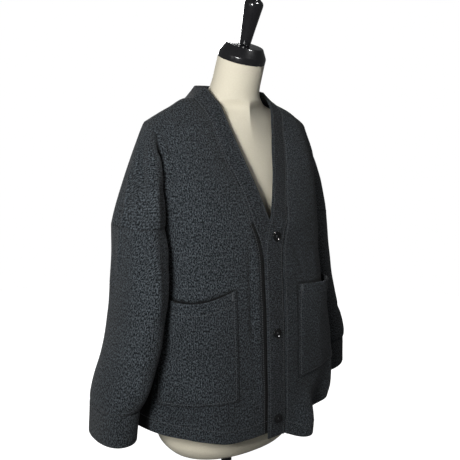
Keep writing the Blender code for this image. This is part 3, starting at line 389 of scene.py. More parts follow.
# Creases of the sleeves: side, path of turn and height, half width and rise in mm
SLEEVE_CREASES = (
    (RIGHT, ((131, -0.246), (130, -0.3), (132, -0.36), (134, -0.43)), 12, 5.5),
    (LEFT, ((131, -0.246), (130, -0.31), (132, -0.38)), 11, 4.5),
    (RIGHT, ((7, -0.245), (2, -0.3), (-4, -0.35)), 5.5, 3.6),
    (RIGHT, ((88, -0.24), (88, -0.3), (91, -0.37), (98, -0.46)), 8.5, 6.2),
    (RIGHT, ((58, -0.24), (57, -0.33), (62, -0.41)), 13, -6.2),
    (RIGHT, ((120, -0.4), (92, -0.44), (60, -0.452)), 11, -2.4),
    (RIGHT, ((112, -0.47), (84, -0.5), (52, -0.506)), 12, 1.8),
    (RIGHT, ((96, -0.58), (70, -0.556), (40, -0.56)), 8, -1.8),
    (RIGHT, ((-60, -0.35), (-84, -0.392), (-110, -0.402)), 12, -3.4),
    (RIGHT, ((-50, -0.42), (-80, -0.446), (-112, -0.44)), 11, -3),
    (RIGHT, ((-70, -0.5), (-96, -0.53), (-120, -0.528)), 12, 2.4),
    (RIGHT, ((-20, -0.3), (-26, -0.38), (-20, -0.46)), 14, 2.2),
    (LEFT, ((40, -0.262), (36, -0.33), (42, -0.4)), 9, 2.4),
    (LEFT, ((74, -0.262), (70, -0.34), (76, -0.42)), 10, -2.6),
    (LEFT, ((104, -0.3), (100, -0.4), (104, -0.5)), 9, 2.2),
    (LEFT, ((90, -0.54), (60, -0.52), (30, -0.53)), 9, -2),
    (LEFT, ((-60, -0.36), (-86, -0.396), (-112, -0.4)), 12, -3.2),
    (LEFT, ((-56, -0.43), (-84, -0.456), (-110, -0.452)), 11, -2.8),
    (LEFT, ((-30, -0.3), (-24, -0.39), (-30, -0.47)), 13, 2.2),
)
FOLD_PAINTED_SHADE = 0.93             # how much darker the painted shade makes the knit deep in the folds
PUCKER_RAYS = 7              # folds that the fastened top button draws
PUCKER_SLOPES = (            # distances from the button over which they rise and fall
    (0.010, 0.016), (0.016, 0.034))
PUCKER_DEPTH = 0.0013
WAVE = 0.0007                # height of the hanging cloth's long and short waves
RIPPLE = 0.0004
HEM_FOLD = 0.028             # height of the turned hem
CUFF_BLOUSE = {RIGHT: 0.0012, LEFT: 0.0036}     # how far each sleeve bulges over its cuff
BLOUSE_SLOPES = ((0.0, 0.006), (0.006, 0.040))  # heights over the cuff's seam
GATHERS = 13                 # round the sleeve
CUFF_SEAM_DEPTH = 0.0010     # the groove along the cuff's seam
CUFF_SEAM_WIDTH = 0.0022
POCKET_HEM = 0.026           # height of the turned pocket mouth
MOUTH_FOLD = 0.0007          # how far it stands out
POCKET_PRESS = 0.014         # width over which the pocket rises from its sewn edge
POCKET_FACE = POCKET_LAYER + 0.0006
POCKET_EDGE = 0.0020         # the sewn edge is pressed into the front

# Sewing thread: pitch of the stitches, their length and the thread's radius
STITCH_PITCH = 0.0046
STITCH_LENGTH = 0.0036
THREAD_RADIUS = 0.00052
THREAD_OUT = THREAD_RADIUS * 0.35       # how far a stitch's middle lies over the cloth
STITCH_INSET = 0.0065        # from a pocket's edge
TACK_STEP = 0.006            # between a bar tack's threads, as a share of the pocket
TACK_SPAN = (0.93, 0.992)    # its share of the way up
BUTTONHOLE_HALF = 0.0130     # half its length
BUTTONHOLE_LIP = 0.0009      # distance of its two stitched lines from its middle
BUTTON_THREAD = 0.00027      # radius of the thread that holds a button
THREAD_BESIDE = 0.00028      # each pair's distance from its middle

# Knit: distance of wales and of courses; name, dark colour, light colour, relief
WALE, COURSE = 0.0034, 0.0028
SWAY, NAP, TUFTS, CLOUD = 90.0, 1500.0, 420.0, 9.0      # scales of its noises, per metre
FINE, BROAD, FLECK = 640.0, 400.0, 460.0
KNITS = (
    ("charcoal knit", (0.0026, 0.0037, 0.0048), (0.078, 0.092, 0.104), 0.0009),
    ("charcoal band knit", (0.0022, 0.0032, 0.0042), (0.062, 0.072, 0.082), 0.0013),
    ("charcoal cuff knit", (0.0030, 0.0041, 0.0052), (0.070, 0.082, 0.092), 0.0015),
)
COVER_THREAD = 0.0009        # distance of the threads in the form's cover

# Camera: turn, pitch and roll, lens, distance from the point it aims at, shift to the right
VIEW_TURN = -35.4
VIEW_PITCH = 9.1
VIEW_ROLL = 0.5
VIEW_LENS = 46.8
VIEW_DISTANCE = 1.35
VIEW_TARGET = (0.0, 0.0, SIDE_NECK_Z - 0.288)
VIEW_RIGHT = 0.004

# Lamps: name, turn, pitch, distance, size, power, whether it lights more than glossy surfaces
ROOM_LIGHT = 0.10
LAMP_AIM = 0.85              # height that they are turned to
FLOOR_RADIUS, FLOOR_TONE, FLOOR_GLOW = 2.4, 0.45, 0.93
SURROUND_RADIUS = 9.0
LAMPS = (
    ("key", -53.0, 7.0, 1.30, 0.34, 14.0, True),
    ("side", -80.0, 4.0, 2.2, 0.8, 1.5, True),
    ("back", 155.0, 26.0, 2.2, 1.0, 36.0, True),
    ("glint", 14.0, 42.0, 2.0, 0.4, 46.0, False),
)


# ---------------------------------------------------------------- curves
def through(knots, values, at):
    """Smooth curve through the values at rising knots."""
    knots = np.asarray(knots, float)
    values = np.asarray(values, float)
    if values.ndim == 1:
        return through(knots, values[:, None], at)[..., 0]
    at = np.asarray(at, float)
    step = np.diff(knots)[:, None]
    slope = np.diff(values, axis=0) / step
    tangent = np.empty_like(values)
    tangent[1:-1] = (slope[:-1] * step[1:] + slope[1:] * step[:-1]) / (step[1:] + step[:-1])
    tangent[0] = 1.5 * slope[0] - 0.5 * tangent[1]
    tangent[-1] = 1.5 * slope[-1] - 0.5 * tangent[-2]
    cell = np.clip(np.searchsorted(knots, at, side="right") - 1, 0, len(knots) - 2)
    width = step[cell, 0][..., None]
    t = ((at - knots[cell])[..., None]) / width
    start = (2 * t**3 - 3 * t**2 + 1) * values[cell] + (t**3 - 2 * t**2 + t) * width * tangent[cell]
    end = (3 * t**2 - 2 * t**3) * values[cell + 1] + (t**3 - t**2) * width * tangent[cell + 1]
    return start + end


def read(table, at):
    """Columns of a table, after its first, at given values of the first."""
    rows = np.asarray(sorted(table), float)
    return through(rows[:, 0], rows[:, 1:], at)


def columns_at(table, at):
    """The same, as one array for each column."""
    return np.moveaxis(read(table, at), -1, 0)


def ease(low, high, value):
    """0 below low, 1 above high, smooth between."""
    t = np.clip((np.asarray(value, float) - low) / (high - low), 0.0, 1.0)
    return t * t * (3 - 2 * t)


def between(rise, fall, value):
    """0 before the rise, 1 between both slopes and 0 after the fall."""
    return ease(*rise, value) * (1 - ease(*fall, value))


def shares_of(steps):
    """Even shares from 0 to 1 in a number of steps."""
    return np.linspace(0, 1, steps + 1)


def fitted(*values):
    """Arrays of one common shape."""
    return np.broadcast_arrays(*(np.asarray(value, float) for value in values))


def joined(*coordinates):
    """Points from their coordinates."""
    return np.stack(np.broadcast_arrays(*coordinates), axis=-1)


def powered(value, power):
    """Power of a sine or a cosine that keeps its sign."""
    return np.sign(value) * np.abs(value) ** power


def distances(grid, axis=0):
    """Distances between neighbouring points of a grid along one of its axes."""
    return np.linalg.norm(np.diff(grid, axis=axis), axis=-1)


def summed(steps, axis=0):
    """Running sum that starts at 0."""
    return np.cumsum(np.insert(steps, 0, 0.0, axis=axis), axis=axis)


# ---------------------------------------------------------------- the garment's surfaces
def body_point(side, turn, z):
    """Middle surface of the body tube at a turn from the centre front and a height."""
    turn, z = fitted(turn, z)
    half, front, back, power = columns_at(BODY_SECTIONS, z)
    swing = np.radians(turn)
    ahead = np.cos(swing)
    x = half * np.sin(swing).clip(0) ** power
    y = -np.where(ahead > 0, front, back) * powered(ahead, power)
    for fold_side, middle, spread, reach, top in SKIRT_FOLDS:
        if fold_side == side:
            swell = reach * np.exp(-((turn - middle) / spread) ** 2)
            swell = swell * (1 - ease(-BODY_LENGTH, top, z))
            x = x + swell * np.sin(swing)
            y = y - swell * ahead
    return joined(x, y, z)


def turn_at_x(x, z):
    """Turn at which the body tube's front is this far from the centre."""
    sections = read(BODY_SECTIONS, z)
    sine = (np.asarray(x, float) / sections[..., 0]) ** (1 / sections[..., 3])
    return np.degrees(np.arcsin(sine))


def band_lift(side, z):
    """How far the upper band, on the wearer's left, stands off the chest."""
    if side == RIGHT:
        return np.zeros_like(np.asarray(z, float))
    return BAND_LAYER * (1 - ease(BAND_LIFT_START, BAND_LIFT_END, z))


def lift_front(side, points, from_seam):
    """Raise the left front beside its band; from_seam is the distance from the band seam."""
    amount = band_lift(side, points[..., 2]) * (1 - ease(0.0, LIFT_FADE, from_seam))
    outward = points * (1.0, 1.0, 0.0)
    outward = outward / np.linalg.norm(outward, axis=-1, keepdims=True)
    return points + outward * amount[..., None]


def seam_x(z):
    """Distance of the band seam from the centre, below the drop line."""
    rows = np.asarray(PLACKET)
    return through(rows[:, 0], rows[:, 1], z)


def hem_height(side, turn):
    """Level of the hem at a turn from the centre front."""
    return read(HEM_LEVELS, turn)[..., 0 if side == RIGHT else 1]


def front_face(side, turn, z):
    """Left or right front's middle surface below the drop line."""
    points = body_point(side, turn, z)
    return lift_front(side, points, points[..., 0] - seam_x(z))


def front_skirt(side, share, rise):
    """Front below the drop line; share runs from the band seam (0) to the valley (1) and on."""
    share, rise = fitted(share, rise)
    low = hem_height(side, VALLEY_TURN * share)
    z = low + (DROP_Z - low) * rise
    first = turn_at_x(seam_x(z), z)
    return front_face(side, first + (VALLEY_TURN - first) * share, z)


def back_skirt(side, turn, rise):
    """Back below the drop line."""
    low = hem_height(side, turn)
    return body_point(side, turn, low + (DROP_Z - low) * rise)


def hull(side, points, face):
    """The drop line drawn straight over the valley between body and sleeve."""
    sign = 1 if face == "front" else -1
    lip = body_point(side, 90 - sign * (90 - LIP_TURN), DROP_Z)
    far = sleeve_ring(side, sign * SLEEVE_LIP, DROP_Z)
    x, y, z = np.moveaxis(points, -1, 0)
    line = lip[1] + (far[1] - lip[1]) * (x - lip[0]) / (far[0] - lip[0])
    flat = -sign * np.maximum(-sign * y, -sign * line)
    return joined(x, np.where((x > lip[0]) & (x < far[0]), flat, y), z)


def over_shoulder(side, base, top, rise, face):
    """Run from the drop line over the chest or the arm up to the seam on top."""
    swing = np.radians(90 * rise)[..., None]
    up = np.sin(swing)
    valley = 1 - ease(*VALLEY_CLOSES, up)
    base = hull(side, base, face) * (1 - valley) + base * valley
    back_run = np.cos(swing).clip(0) ** CHEST_ROUND
    mixed = base + (top - base) * up
    mixed[..., 1:2] = top[..., 1:2] + (base[..., 1:2] - top[..., 1:2]) * back_run
    return mixed


def shoulder_seam(side, share):
    """Seam on top of the shoulder from the neckline (0) to the overarm line (1)."""
    neck = NECKLINE[side][-1][1:4]
    return read(((0.0, *neck), *SHOULDER_SEAM), share)


def back_neck(side, share):
    """Seam and free edge of the back-neck band from the shoulder seam to the centre."""
    return read(((0.0, *NECKLINE[side][-1][1:]), *BACK_NECK), share)


def neck_seam(side, rise):
    """Front band seam above the drop line."""
    rows = np.asarray(NECKLINE[side])
    points = np.vstack([front_skirt(side, 0.0, 1.0), rows[:, 1:4]])
    curve = through(np.append(0.0, rows[:, 0]), points, np.sin(np.radians(90 * rise)))
    taken = band_lift(side, DROP_Z) * (1 - ease(0.0, LIFT_TAKEN, rise))
    lift = band_lift(side, curve[..., 2]) - taken
    return curve + joined(0 * lift, -lift, 0 * lift)


def front_yoke(side, share, rise):
    """Front above the drop line, from the band seam to the valley and the shoulder seam."""
    share, rise = fitted(share, rise)

    def panel(share):
        base = front_skirt(side, share, np.ones_like(share))
        return over_shoulder(side, base, shoulder_seam(side, share), rise, "front")

    pull = (neck_seam(side, rise) - panel(0 * share)) * ((1 - share) ** NECK_DRAW)[..., None]
    return panel(share) + pull


def back_yoke(side, share, rise):
    """Back above the drop line; share runs from the centre back (0) to the valley (1)."""
    share, rise = fitted(share, rise)
    base = back_skirt(side, 180.0 - VALLEY_TURN * share, np.ones_like(share))
    neck = back_neck(side, 1 - np.clip(share / NECK_SHARE, 0, 1))[..., :3]
    seam = shoulder_seam(side, np.clip((share - NECK_SHARE) / (1 - NECK_SHARE), 0, 1))
    top = np.where((share < NECK_SHARE - 1e-9)[..., None], neck, seam)
    return over_shoulder(side, base, top, rise, "back")


def sleeve_ring(side, turn, z):
    """Sleeve's middle surface; turn runs from the outside (0) over the front (90)."""
    turn, z = fitted(turn, z)
    x, y, half, depth = columns_at(SLEEVE_SECTIONS[side], z)
    swing = np.radians(turn)
    return joined(x + half * powered(np.cos(swing), SLEEVE_ROUND),
                  y - depth * powered(np.sin(swing), SLEEVE_ROUND), z)


def drop_seam(side, turn):
    """Drop-shoulder seam round the sleeve, drawn to the valleys of the body."""
    points = sleeve_ring(side, turn, DROP_Z)
    tip = np.asarray(OVERARM[side][-1][1:])
    near_tip = (1 - ease(0.0, TIP_SPREAD, np.abs(turn)))[..., None]
    points = points + (tip - sleeve_ring(side, 0.0, DROP_Z)) * near_tip
    for sign, body_turn in ((1, VALLEY_TURN), (-1, 180 - VALLEY_TURN)):
        valley = body_point(side, body_turn, DROP_Z)
        own = sleeve_ring(side, sign * SLEEVE_VALLEY, DROP_Z)
        share = np.clip(sign * turn / SLEEVE_VALLEY, 0, 1)[..., None] ** VALLEY_DRAW
        points = points + (valley - own) * share
    return points


def lobe(side, face, share, rise):
    """Front or back over the arm; share runs from the valley (0) to the overarm line (1)."""
    share, rise = fitted(share, rise)
    sign = 1 if face == "front" else -1
    base = drop_seam(side, sign * SLEEVE_VALLEY * (1 - share))
    return over_shoulder(side, base, read(OVERARM[side], share), rise, face)


def placket_row(side, height):
    """Seam and free edge of a front band below the drop line."""
    rows = np.asarray(PLACKET)
    edge_z, edge_x = through(rows[:, 0], rows[:, 2:4], height)
    seam = front_face(side, turn_at_x(seam_x(height), height), height)
    edge = body_point(side, turn_at_x(abs(edge_x), edge_z), edge_z)
    edge[0] = edge_x
    edge[1] -= band_lift(side, edge_z)
    return seam, edge


def band_strip(side, rise_skirt, rise_yoke, across):
    """Rows of a front band from the hem to the shoulder seam, seam edge first."""
    rows = [placket_row(side, front_skirt(side, 0.0, rise)[2]) for rise in rise_skirt]
    table = np.asarray(NECKLINE[side])
    knots, edges = np.append(0.0, table[:, 0]), np.vstack([rows[-1][1], table[:, 4:7]])
    for rise in rise_yoke[1:]:
        edge = through(knots, edges, math.sin(math.radians(90 * rise)))
        lift = band_lift(side, edge[2]) * float(ease(0.0, LIFT_TAKEN, rise))
        rows.append((neck_seam(side, rise), edge - np.array((0.0, lift, 0.0))))
    return blend_rows(rows, across)


def blend_rows(rows, across):
    """Points between seam and free edge of a band, slightly crowned."""
    grid = []
    for seam, edge in rows:
        crown = np.array((0.0, 4 * BAND_CROWN * abs(seam[0] - edge[0]), 0.0))
        grid.append([seam + (edge - seam) * share - share * (1 - share) * crown
                     for share in across])
    return np.asarray(grid)


def clear_of_body(points):
    """Push a sleeve's points out from the body tube where they hang against it."""
    y, z = points[..., 1], points[..., 2]
    half, front, back, power = columns_at(BODY_SECTIONS, z)
    level = np.clip(np.abs(y) / np.where(y < 0, front, back), 0, 1) ** (1 / power)
    edge = half * (1 - level**2) ** (power / 2)
    room = SLEEVE_BODY_GAP + POCKET_ROOM * (1 - ease(*POCKET_ROOM_ENDS, z))
    out = points.copy()
    out[..., 0] = np.maximum(points[..., 0], edge + room)
    return out


def neck_axis(way):
    """Point on the neck's leaning axis."""
    lean = math.radians(NECK_LEAN)
    foot = np.asarray(NECK_FOOT)
    return foot + way * np.array((0.0, -math.sin(lean), math.cos(lean)))


# ---------------------------------------------------------------- welded cloth
def cell_corners(grid):
    """The four corners of each cell of a grid."""
    return np.stack([grid[:-1, :-1], grid[:-1, 1:], grid[1:, 1:], grid[1:, :-1]], axis=2)


def lone_sides(faces, count):
    """Starts and ends of the sides that only one face has."""
    starts, ends = faces.reshape(-1), np.roll(faces, -1, axis=1).reshape(-1)
    proper = starts != ends
    starts, ends = starts[proper], ends[proper]
    codes = np.minimum(starts, ends) * count + np.maximum(starts, ends)
    _, first, uses = np.unique(codes, return_index=True, return_counts=True)
    return starts[first[uses == 1]], ends[first[uses == 1]]


class Garment:
    """Middle surface of sewn cloth, patch by patch, with each point's place on the grain."""

    def __init__(self):
        self.patches, self.folds = [], []

    def patch(self, name, grid, grain, side, fold=0.0):
        """Rows run up and columns from the middle outwards; grain is in metres across and along;
        fold is painted shade from 0 to 1.
        """
        self.patches.append((name, np.asarray(grid) * (side, 1.0, 1.0), np.asarray(grain), side))
        self.folds.append(np.broadcast_to(fold, grid.shape[:2]).reshape(-1))

    def weld(self):
        """Make one surface of the patches, with points that lie together made one."""
        loose = np.vstack([grid.reshape(-1, 3) for _, grid, _, _ in self.patches])
        keys = np.round(loose * WELD_STEPS).astype(np.int64)
        _, first, ids = np.unique(keys, axis=0, return_index=True, return_inverse=True)
        self.ids = ids.reshape(-1)
        self.points = loose[first]
        loops, grains, names = [], [], []
        for number, (name, _, grain, side) in enumerate(self.patches):
            corners, places = cell_corners(self.grid_ids(number)), cell_corners(grain)
            if side < 0:
                corners, places = corners[:, :, ::-1], places[:, :, ::-1]
            loops.append(corners.reshape(-1, 4))
            grains.append(places.reshape(-1, 4, 2))
            names += [name] * len(loops[-1])
        self.quads, self.grain, self.names = np.vstack(loops), np.vstack(grains), np.array(names)
        self.fold = np.zeros(len(self.points))
        # each welded point keeps the deepest painted shade of the patches that meet there
        np.maximum.at(self.fold, self.ids, np.concatenate(self.folds))
        self.free = np.zeros(len(self.points), dtype=bool)
        for ends in lone_sides(self.quads, len(self.points)):
            self.free[ends] = True
        self.free &= np.abs(self.points[:, 2] - DROP_Z) > 0.004

    def normals(self):
        """Outward direction at each point."""
        a, b, c, d = (self.points[self.quads[:, k]] for k in range(4))
        area = np.cross(c - a, d - b)
        total = np.zeros_like(self.points)
        for k in range(4):
            np.add.at(total, self.quads[:, k], area)
        return total / np.maximum(np.linalg.norm(total, axis=1, keepdims=True), 1e-12)

    def grid_ids(self, number):
        """Point numbers of one patch, row by row."""
        start = sum(grid.shape[0] * grid.shape[1] for _, grid, _, _ in self.patches[:number])
        rows, columns = self.patches[number][1].shape[:2]
        return self.ids[start:start + rows * columns].reshape(rows, columns)


def shell(name, cloth, part, thickness, material):
    """Closed wall of one cut piece with rounded edges, and its grain as the UV map."""
    quads, grain = cloth.quads[cloth.names == part], cloth.grain[cloth.names == part]
    used, own = np.unique(quads, return_inverse=True)
    own, count = own.reshape(quads.shape), len(used)
    middle, outward = cloth.points[used], cloth.normals()[used]
    rim_a, rim_b = lone_sides(own, count)
    turn_in = np.cross(outward[rim_a] + outward[rim_b], middle[rim_b] - middle[rim_a])
    turn_in /= np.linalg.norm(turn_in, axis=1, keepdims=True)
    inward = np.zeros_like(middle)
    np.add.at(inward, rim_a, turn_in)
    np.add.at(inward, rim_b, turn_in)
    length = np.linalg.norm(inward, axis=1, keepdims=True)
    on_rim = length[:, 0] > 1e-9
    stretch = np.minimum(2 / np.maximum(length, 1.2), 1.5) / np.maximum(length, 1e-9)
    inward = np.where(on_rim[:, None], inward * stretch, 0)
    radius = thickness * np.where(cloth.free[used], EDGE_ROUND, SEAM_ROUND)[:, None]
    outer, *edge, inner = (
        middle + outward * thickness * share + inward * (SEAM_OPEN / 2 + radius * pull)
        for share, pull in WALL_LAYERS)
    rim = np.flatnonzero(on_rim)
    vertices = np.vstack([outer, inner, *(layer[rim] for layer in edge)])
    everyone, on_edge = np.arange(count), np.full(count, -1)
    on_edge[rim] = np.arange(len(rim))
    layers = [everyone, *(2 * count + k * len(rim) + on_edge for k in range(len(edge))),
              everyone + count]
    faces, places = [own, own[:, ::-1] + count], [grain, grain[:, ::-1]]
    grain_of = np.zeros((count, 2))
    grain_of[own.reshape(-1)] = grain.reshape(-1, 2)
    for upper, lower in zip(layers[:-1], layers[1:]):
        faces.append(np.stack([upper[rim_b], upper[rim_a], lower[rim_a], lower[rim_b]], axis=1))
        places.append(grain_of[np.stack([rim_b, rim_a, rim_a, rim_b], axis=1)])
    # painted shade of each point, on both faces and round the rim
    fold = cloth.fold[used]
    fold = np.concatenate([fold, fold, *[fold[rim]] * len(edge)])
    return cloth_mesh(name, vertices, np.vstack(faces), np.vstack(places), fold, material)


def new_object(name, vertices, faces, material=None, place=None, edges=()):
    """Object in the scene, smooth where it has faces."""
    mesh = bpy.data.meshes.new(name)
    mesh.from_pydata(np.asarray(vertices, float).tolist(), edges, faces)
    if place is not None:
        mesh.transform(place)
    if material is not None:
        mesh.materials.append(material)
        mesh.shade_smooth()
    made = bpy.data.objects.new(name, mesh)
    bpy.context.scene.collection.objects.link(made)
    return made


def finished(made):
    """The object with its modifiers turned into plain mesh."""
    bpy.context.view_layer.update()
    ready = made.evaluated_get(bpy.context.evaluated_depsgraph_get())
    mesh = bpy.data.meshes.new_from_object(ready)
    made.modifiers.clear()
    made.data = mesh
    return made


def cloth_mesh(name, vertices, quads, grain, fold, material):
    """Mesh object from quads, some of them closed up to triangles, with its grain and its painted
    fold shade.
    """
    polygons, places = [], []
    for loop, same, place in zip(quads.tolist(), quads == np.roll(quads, 1, axis=1), grain):
        keep = np.flatnonzero(~same)
        if len(keep) > 2:
            polygons.append([loop[k] for k in keep])
            places.append(place[keep])
    made = new_object(name, vertices + TO_NECK, polygons, material)
    made.data.uv_layers.new(name="Grain").data.foreach_set("uv", np.vstack(places).ravel())
    # painted shade that darkens the knit's colour, stored on the points
    made.data.attributes.new("Fold", "FLOAT", "POINT").data.foreach_set("value", fold)
    made.data.update()
    return made


# ---------------------------------------------------------------- creases
def chart_point(chart, side, a, b):
    """Middle-surface point at a chart's two coordinates."""
    if chart == "skirt":
        return front_face(side, a, b) if a < 89 else body_point(side, a, b)
    if chart == "yoke":
        return front_yoke(side, min(a, 1.0), b)
    if chart == "back":
        return back_yoke(side, min(a, 1.0), b)
    return lobe(side, "front", a, b)


def traced(path, steps=40):
    """Smooth run of coordinates through a crease's few points."""
    knots = np.linspace(0, 1, len(path))
    return through(knots, np.asarray(path, float), np.linspace(0, 1, steps))


def pressed(points, line, half_width, rise, seed):
    """Height that one crease adds at each point; it fades to its ends and is a little uneven."""
    amount = np.zeros(len(points))
    low, high = line.min(axis=0) - 3 * half_width, line.max(axis=0) + 3 * half_width
    near = np.flatnonzero(((points > low) & (points < high)).all(axis=1))
    if not len(near):
        return amount
    gaps = np.linalg.norm(points[near, None, :] - line[None, :, :], axis=2)
    closest = gaps.min(axis=1)
    way = np.linspace(0, 1, len(line))
    fade = np.sin(np.pi * (way * 0.94 + 0.03)) ** 0.8
    uneven = 1 + 0.25 * np.sin(9 * way + seed) + 0.12 * np.sin(23 * way + 2 * seed)
    share = np.exp((closest[:, None]**2 - gaps**2) / (0.5 * half_width**2))
    mean = (share @ (fade * uneven)) / share.sum(axis=1)
    amount[near] = rise * mean * np.exp(-(closest / half_width) ** 2)
    return amount


def rolling(points, seed):
    """Very shallow waves of a heavy cloth that hangs."""
    x, y, z = points.T
    return (WAVE * np.sin(31 * x + 17 * z + seed) * np.sin(23 * z - 9 * y + 1.7 * seed)
            + RIPPLE * np.sin(67 * x - 41 * z + seed) * np.sin(53 * y + 29 * z))


def crease_garment(garment):
    """Move the welded points along their normals by all creases and the button's pucker."""
    points = garment.points
    height = rolling(points, 0.6)
    for number, (chart, side, path, half_width, rise) in enumerate(CREASES):
        line = np.array([chart_point(chart, side, a, b) for a, b in traced(path)]) * (side, 1, 1)
        height += pressed(points, line, half_width * MM, rise * MM, number)
    away = points - button_place(BUTTON_HEIGHTS[0])[0]
    reach = np.linalg.norm(away, axis=1)
    ray = np.arctan2(away[:, 2], away[:, 0])
    folds = np.cos(PUCKER_RAYS * ray + 0.7 * np.sin(2 * ray))
    height += PUCKER_DEPTH * folds * between(*PUCKER_SLOPES, reach)
    garment.points = points + garment.normals() * height[:, None]


# ---------------------------------------------------------------- grain of the cut pieces
def along_grain(grid, across_from=0.0, along_from=0.0):
    """Distances on the cloth: across from a first column, and along up each column."""
    rise = np.linalg.norm(np.diff(grid, axis=0)[..., 1:], axis=2)
    across = summed(distances(grid, 1), 1) + np.reshape(across_from, (-1, 1))
    return joined(across, summed(rise) + along_from)


def lobe_grain(share, rise):
    """The cut panel's own grid on its part over the arm, whose wales run round the arm."""
    return joined(LOBE_EDGE - LOBE_TO_SEAM * (1 - share) * rise,
                  LOBE_START + LOBE_ROUND_ARM * (share + (1 - share) * rise))


def eased_neck_corner(grid, rows):
    """The back's upper part with the fold below the neck corner drawn smooth; its edges stay."""
    columns = np.arange(grid.shape[1] - 2) + 1
    beside = np.exp(-((columns - (grid.shape[1] - 1 - BACK_NECK_COLUMNS)) / CORNER_REACH) ** 2)
    weight = (between(*CORNER_SLOPES, rows) * beside)[..., None] / 4
    for _ in range(CORNER_SMOOTHING):
        grid[:, 1:-1] += weight * (grid[:, :-2] + grid[:, 2:] - 2 * grid[:, 1:-1])
    return grid


def front_columns():
    """Shares of the front's columns from the band seam to the valley and on to the side."""
    under = 1 + (90 / VALLEY_TURN - 1) * shares_of(UNDER_COLUMNS)[1:]
    return np.append(shares_of(FRONT_COLUMNS), under)


def sewn_cloth():
    """Fronts, back and bands on one welded fine surface; patch numbers of the fronts' skirts."""
    cloth, skirts = Garment(), {}
    columns, shares, arm = front_columns(), shares_of(FRONT_COLUMNS), shares_of(OVERARM_COLUMNS)
    low, high = (shares_of(rows)[:, None] for rows in (HEM_TO_DROP_ROWS, DROP_TO_SHOULDER_ROWS))
    inwards = np.append(np.linspace(0, NECK_SHARE, BACK_NECK_COLUMNS + 1),
                        NECK_SHARE + (1 - NECK_SHARE) * shares[1:])[::-1]
    across = shares_of(BAND_STEPS)
    # Painted shade in the valley between body and sleeve, fading up the yoke, over the arm and at
    # the back
    deep = 1 - ease(*YOKE_SHADE_ENDS, high)
    start, full = (edge + YOKE_SHADE_SHIFT * ease(0.2, 0.6, high) for edge in VALLEY_SHADE)
    valley = deep * ease(start, full, shares)
    inner = deep * (1 - ease(*LOBE_SHADE, arm))
    for side in (RIGHT, LEFT):
        front = "front_" + SIDE_NAME[side]

        def add(name, grid, start, fold=0.0, along=None):
            along = DROP_Z if along is None else along
            cloth.patch(name, grid, along_grain(grid, start, along + 1.0), side, fold)

        skirts[side] = len(cloth.patches)
        skirt = front_skirt(side, columns, low)
        # painted shade in the valley by the sleeve and the painted shadow just inside a pocket's
        # mouth
        shade = np.maximum(ease(*VALLEY_SHADE, columns), mouth_shadow(side, columns, skirt[..., 2]))
        # painted shadow of the upper band on the right front, beside its edge
        if side == RIGHT:
            shade = np.maximum(shade, 1 - ease(*BAND_SHADE, columns))
        add(front, skirt, skirt[:, 0, 0], shade, skirt[0, :, 2])
        yoke = front_yoke(side, shares, high)
        add(front, yoke, yoke[:, 0, 0], valley)
        cloth.patch(front, lobe(side, "front", arm, high), lobe_grain(arm, high), side, inner)
        strip = band_strip(side, low[:, 0], high[:, 0], across)[:, ::-1]
        cloth.patch("band_" + SIDE_NAME[side], strip, along_grain(strip)[..., ::-1], side)
        low_back = back_skirt(side, 180 - VALLEY_TURN * inwards, low)
        half = distances(low_back, 1).sum(axis=1)
        add("back", low_back, -half, along=low_back[0, :, 2])
        low_side = back_skirt(side, 90 + (90 - VALLEY_TURN) * shares_of(UNDER_COLUMNS), low)
        add("back", low_side, -half - 0.04, along=low_side[0, :, 2])
        high_back = eased_neck_corner(back_yoke(side, inwards, high), high)
        half = distances(high_back, 1).sum(axis=1)
        # painted shade in the back's valley beside the sleeve
        add("back", high_back, -half, deep * ease(*BACK_SHADE, inwards))
        cloth.patch("back", lobe(side, "back", arm[::-1], high), lobe_grain(arm[::-1], high), side,
                    inner[:, ::-1])
        rows = back_neck(side, shares_of(BACK_NECK_COLUMNS))
        collar = blend_rows([(row[:3], row[3:]) for row in rows], across)
        reach = summed(distances(collar[:, 0]))[::-1]
        grain = joined(reach * side, BAND_FLAT * across[:, None])
        cloth.patch("band_neck", np.swapaxes(collar, 0, 1), grain, side)
    cloth.weld()
    return cloth, skirts


def make_panels(cloth, knit, band_knit):
    """One shell for each cut piece of the sewn cloth."""
    made = {}
    for name in sorted(set(cloth.names.tolist())):
        wall = (BAND_CLOTH, band_knit) if name.startswith("band") else (CLOTH, knit)
        made[name] = shell(name + "_cloth", cloth, name, *wall)
    return made


# ---------------------------------------------------------------- sleeves
def end_sag(side, turns):
    """How much lower the cuff's edge hangs at each turn."""
    return CUFF_SAG[side] * (1 - np.cos(np.radians(turns))) / 2


def sleeve_points(side, turns, heights):
    """Sleeve's middle surface from the drop seam to the wrist, heights given before its reach."""
    wrist = SLEEVE_SECTIONS[side][-1][0]
    to_seam = drop_seam(side, (turns + 180) % 360 - 180) - sleeve_ring(side, turns, DROP_Z)
    rings = []
    for z in heights:
        ring = sleeve_ring(side, turns, z) + to_seam * ease(DROP_Z - TAPER_ABOVE, DROP_Z, z)
        ring[:, 2] = z + CUFF_SHIFT[side] * (DROP_Z - z) / (DROP_Z - wrist)
        ring[:, 2] -= end_sag(side, turns) * SEAM_SAG * (1 - ease(wrist, SAG_START, z))
        rings.append(clear_of_body(ring))
    return np.array(rings)


def cuff_points(side, turns, drops):
    """Cuff's middle surface at drops below the wrist."""
    wrist, x, y, half, depth = SLEEVE_SECTIONS[side][-1]
    swing, sag = np.radians(turns), end_sag(side, turns)
    rings = []
    for drop in drops:
        outwards, forwards, size = read(CUFF_SECTIONS, drop)
        hang = SEAM_SAG + (1 - SEAM_SAG) * drop / CUFF_HEIGHT
        level = wrist - drop + CUFF_SHIFT[side] - sag * hang
        rings.append(clear_of_body(joined(
            x + outwards + half * size * powered(np.cos(swing), SLEEVE_ROUND),
            y - forwards - depth * size * powered(np.sin(swing), SLEEVE_ROUND), level)))
    return np.array(rings)


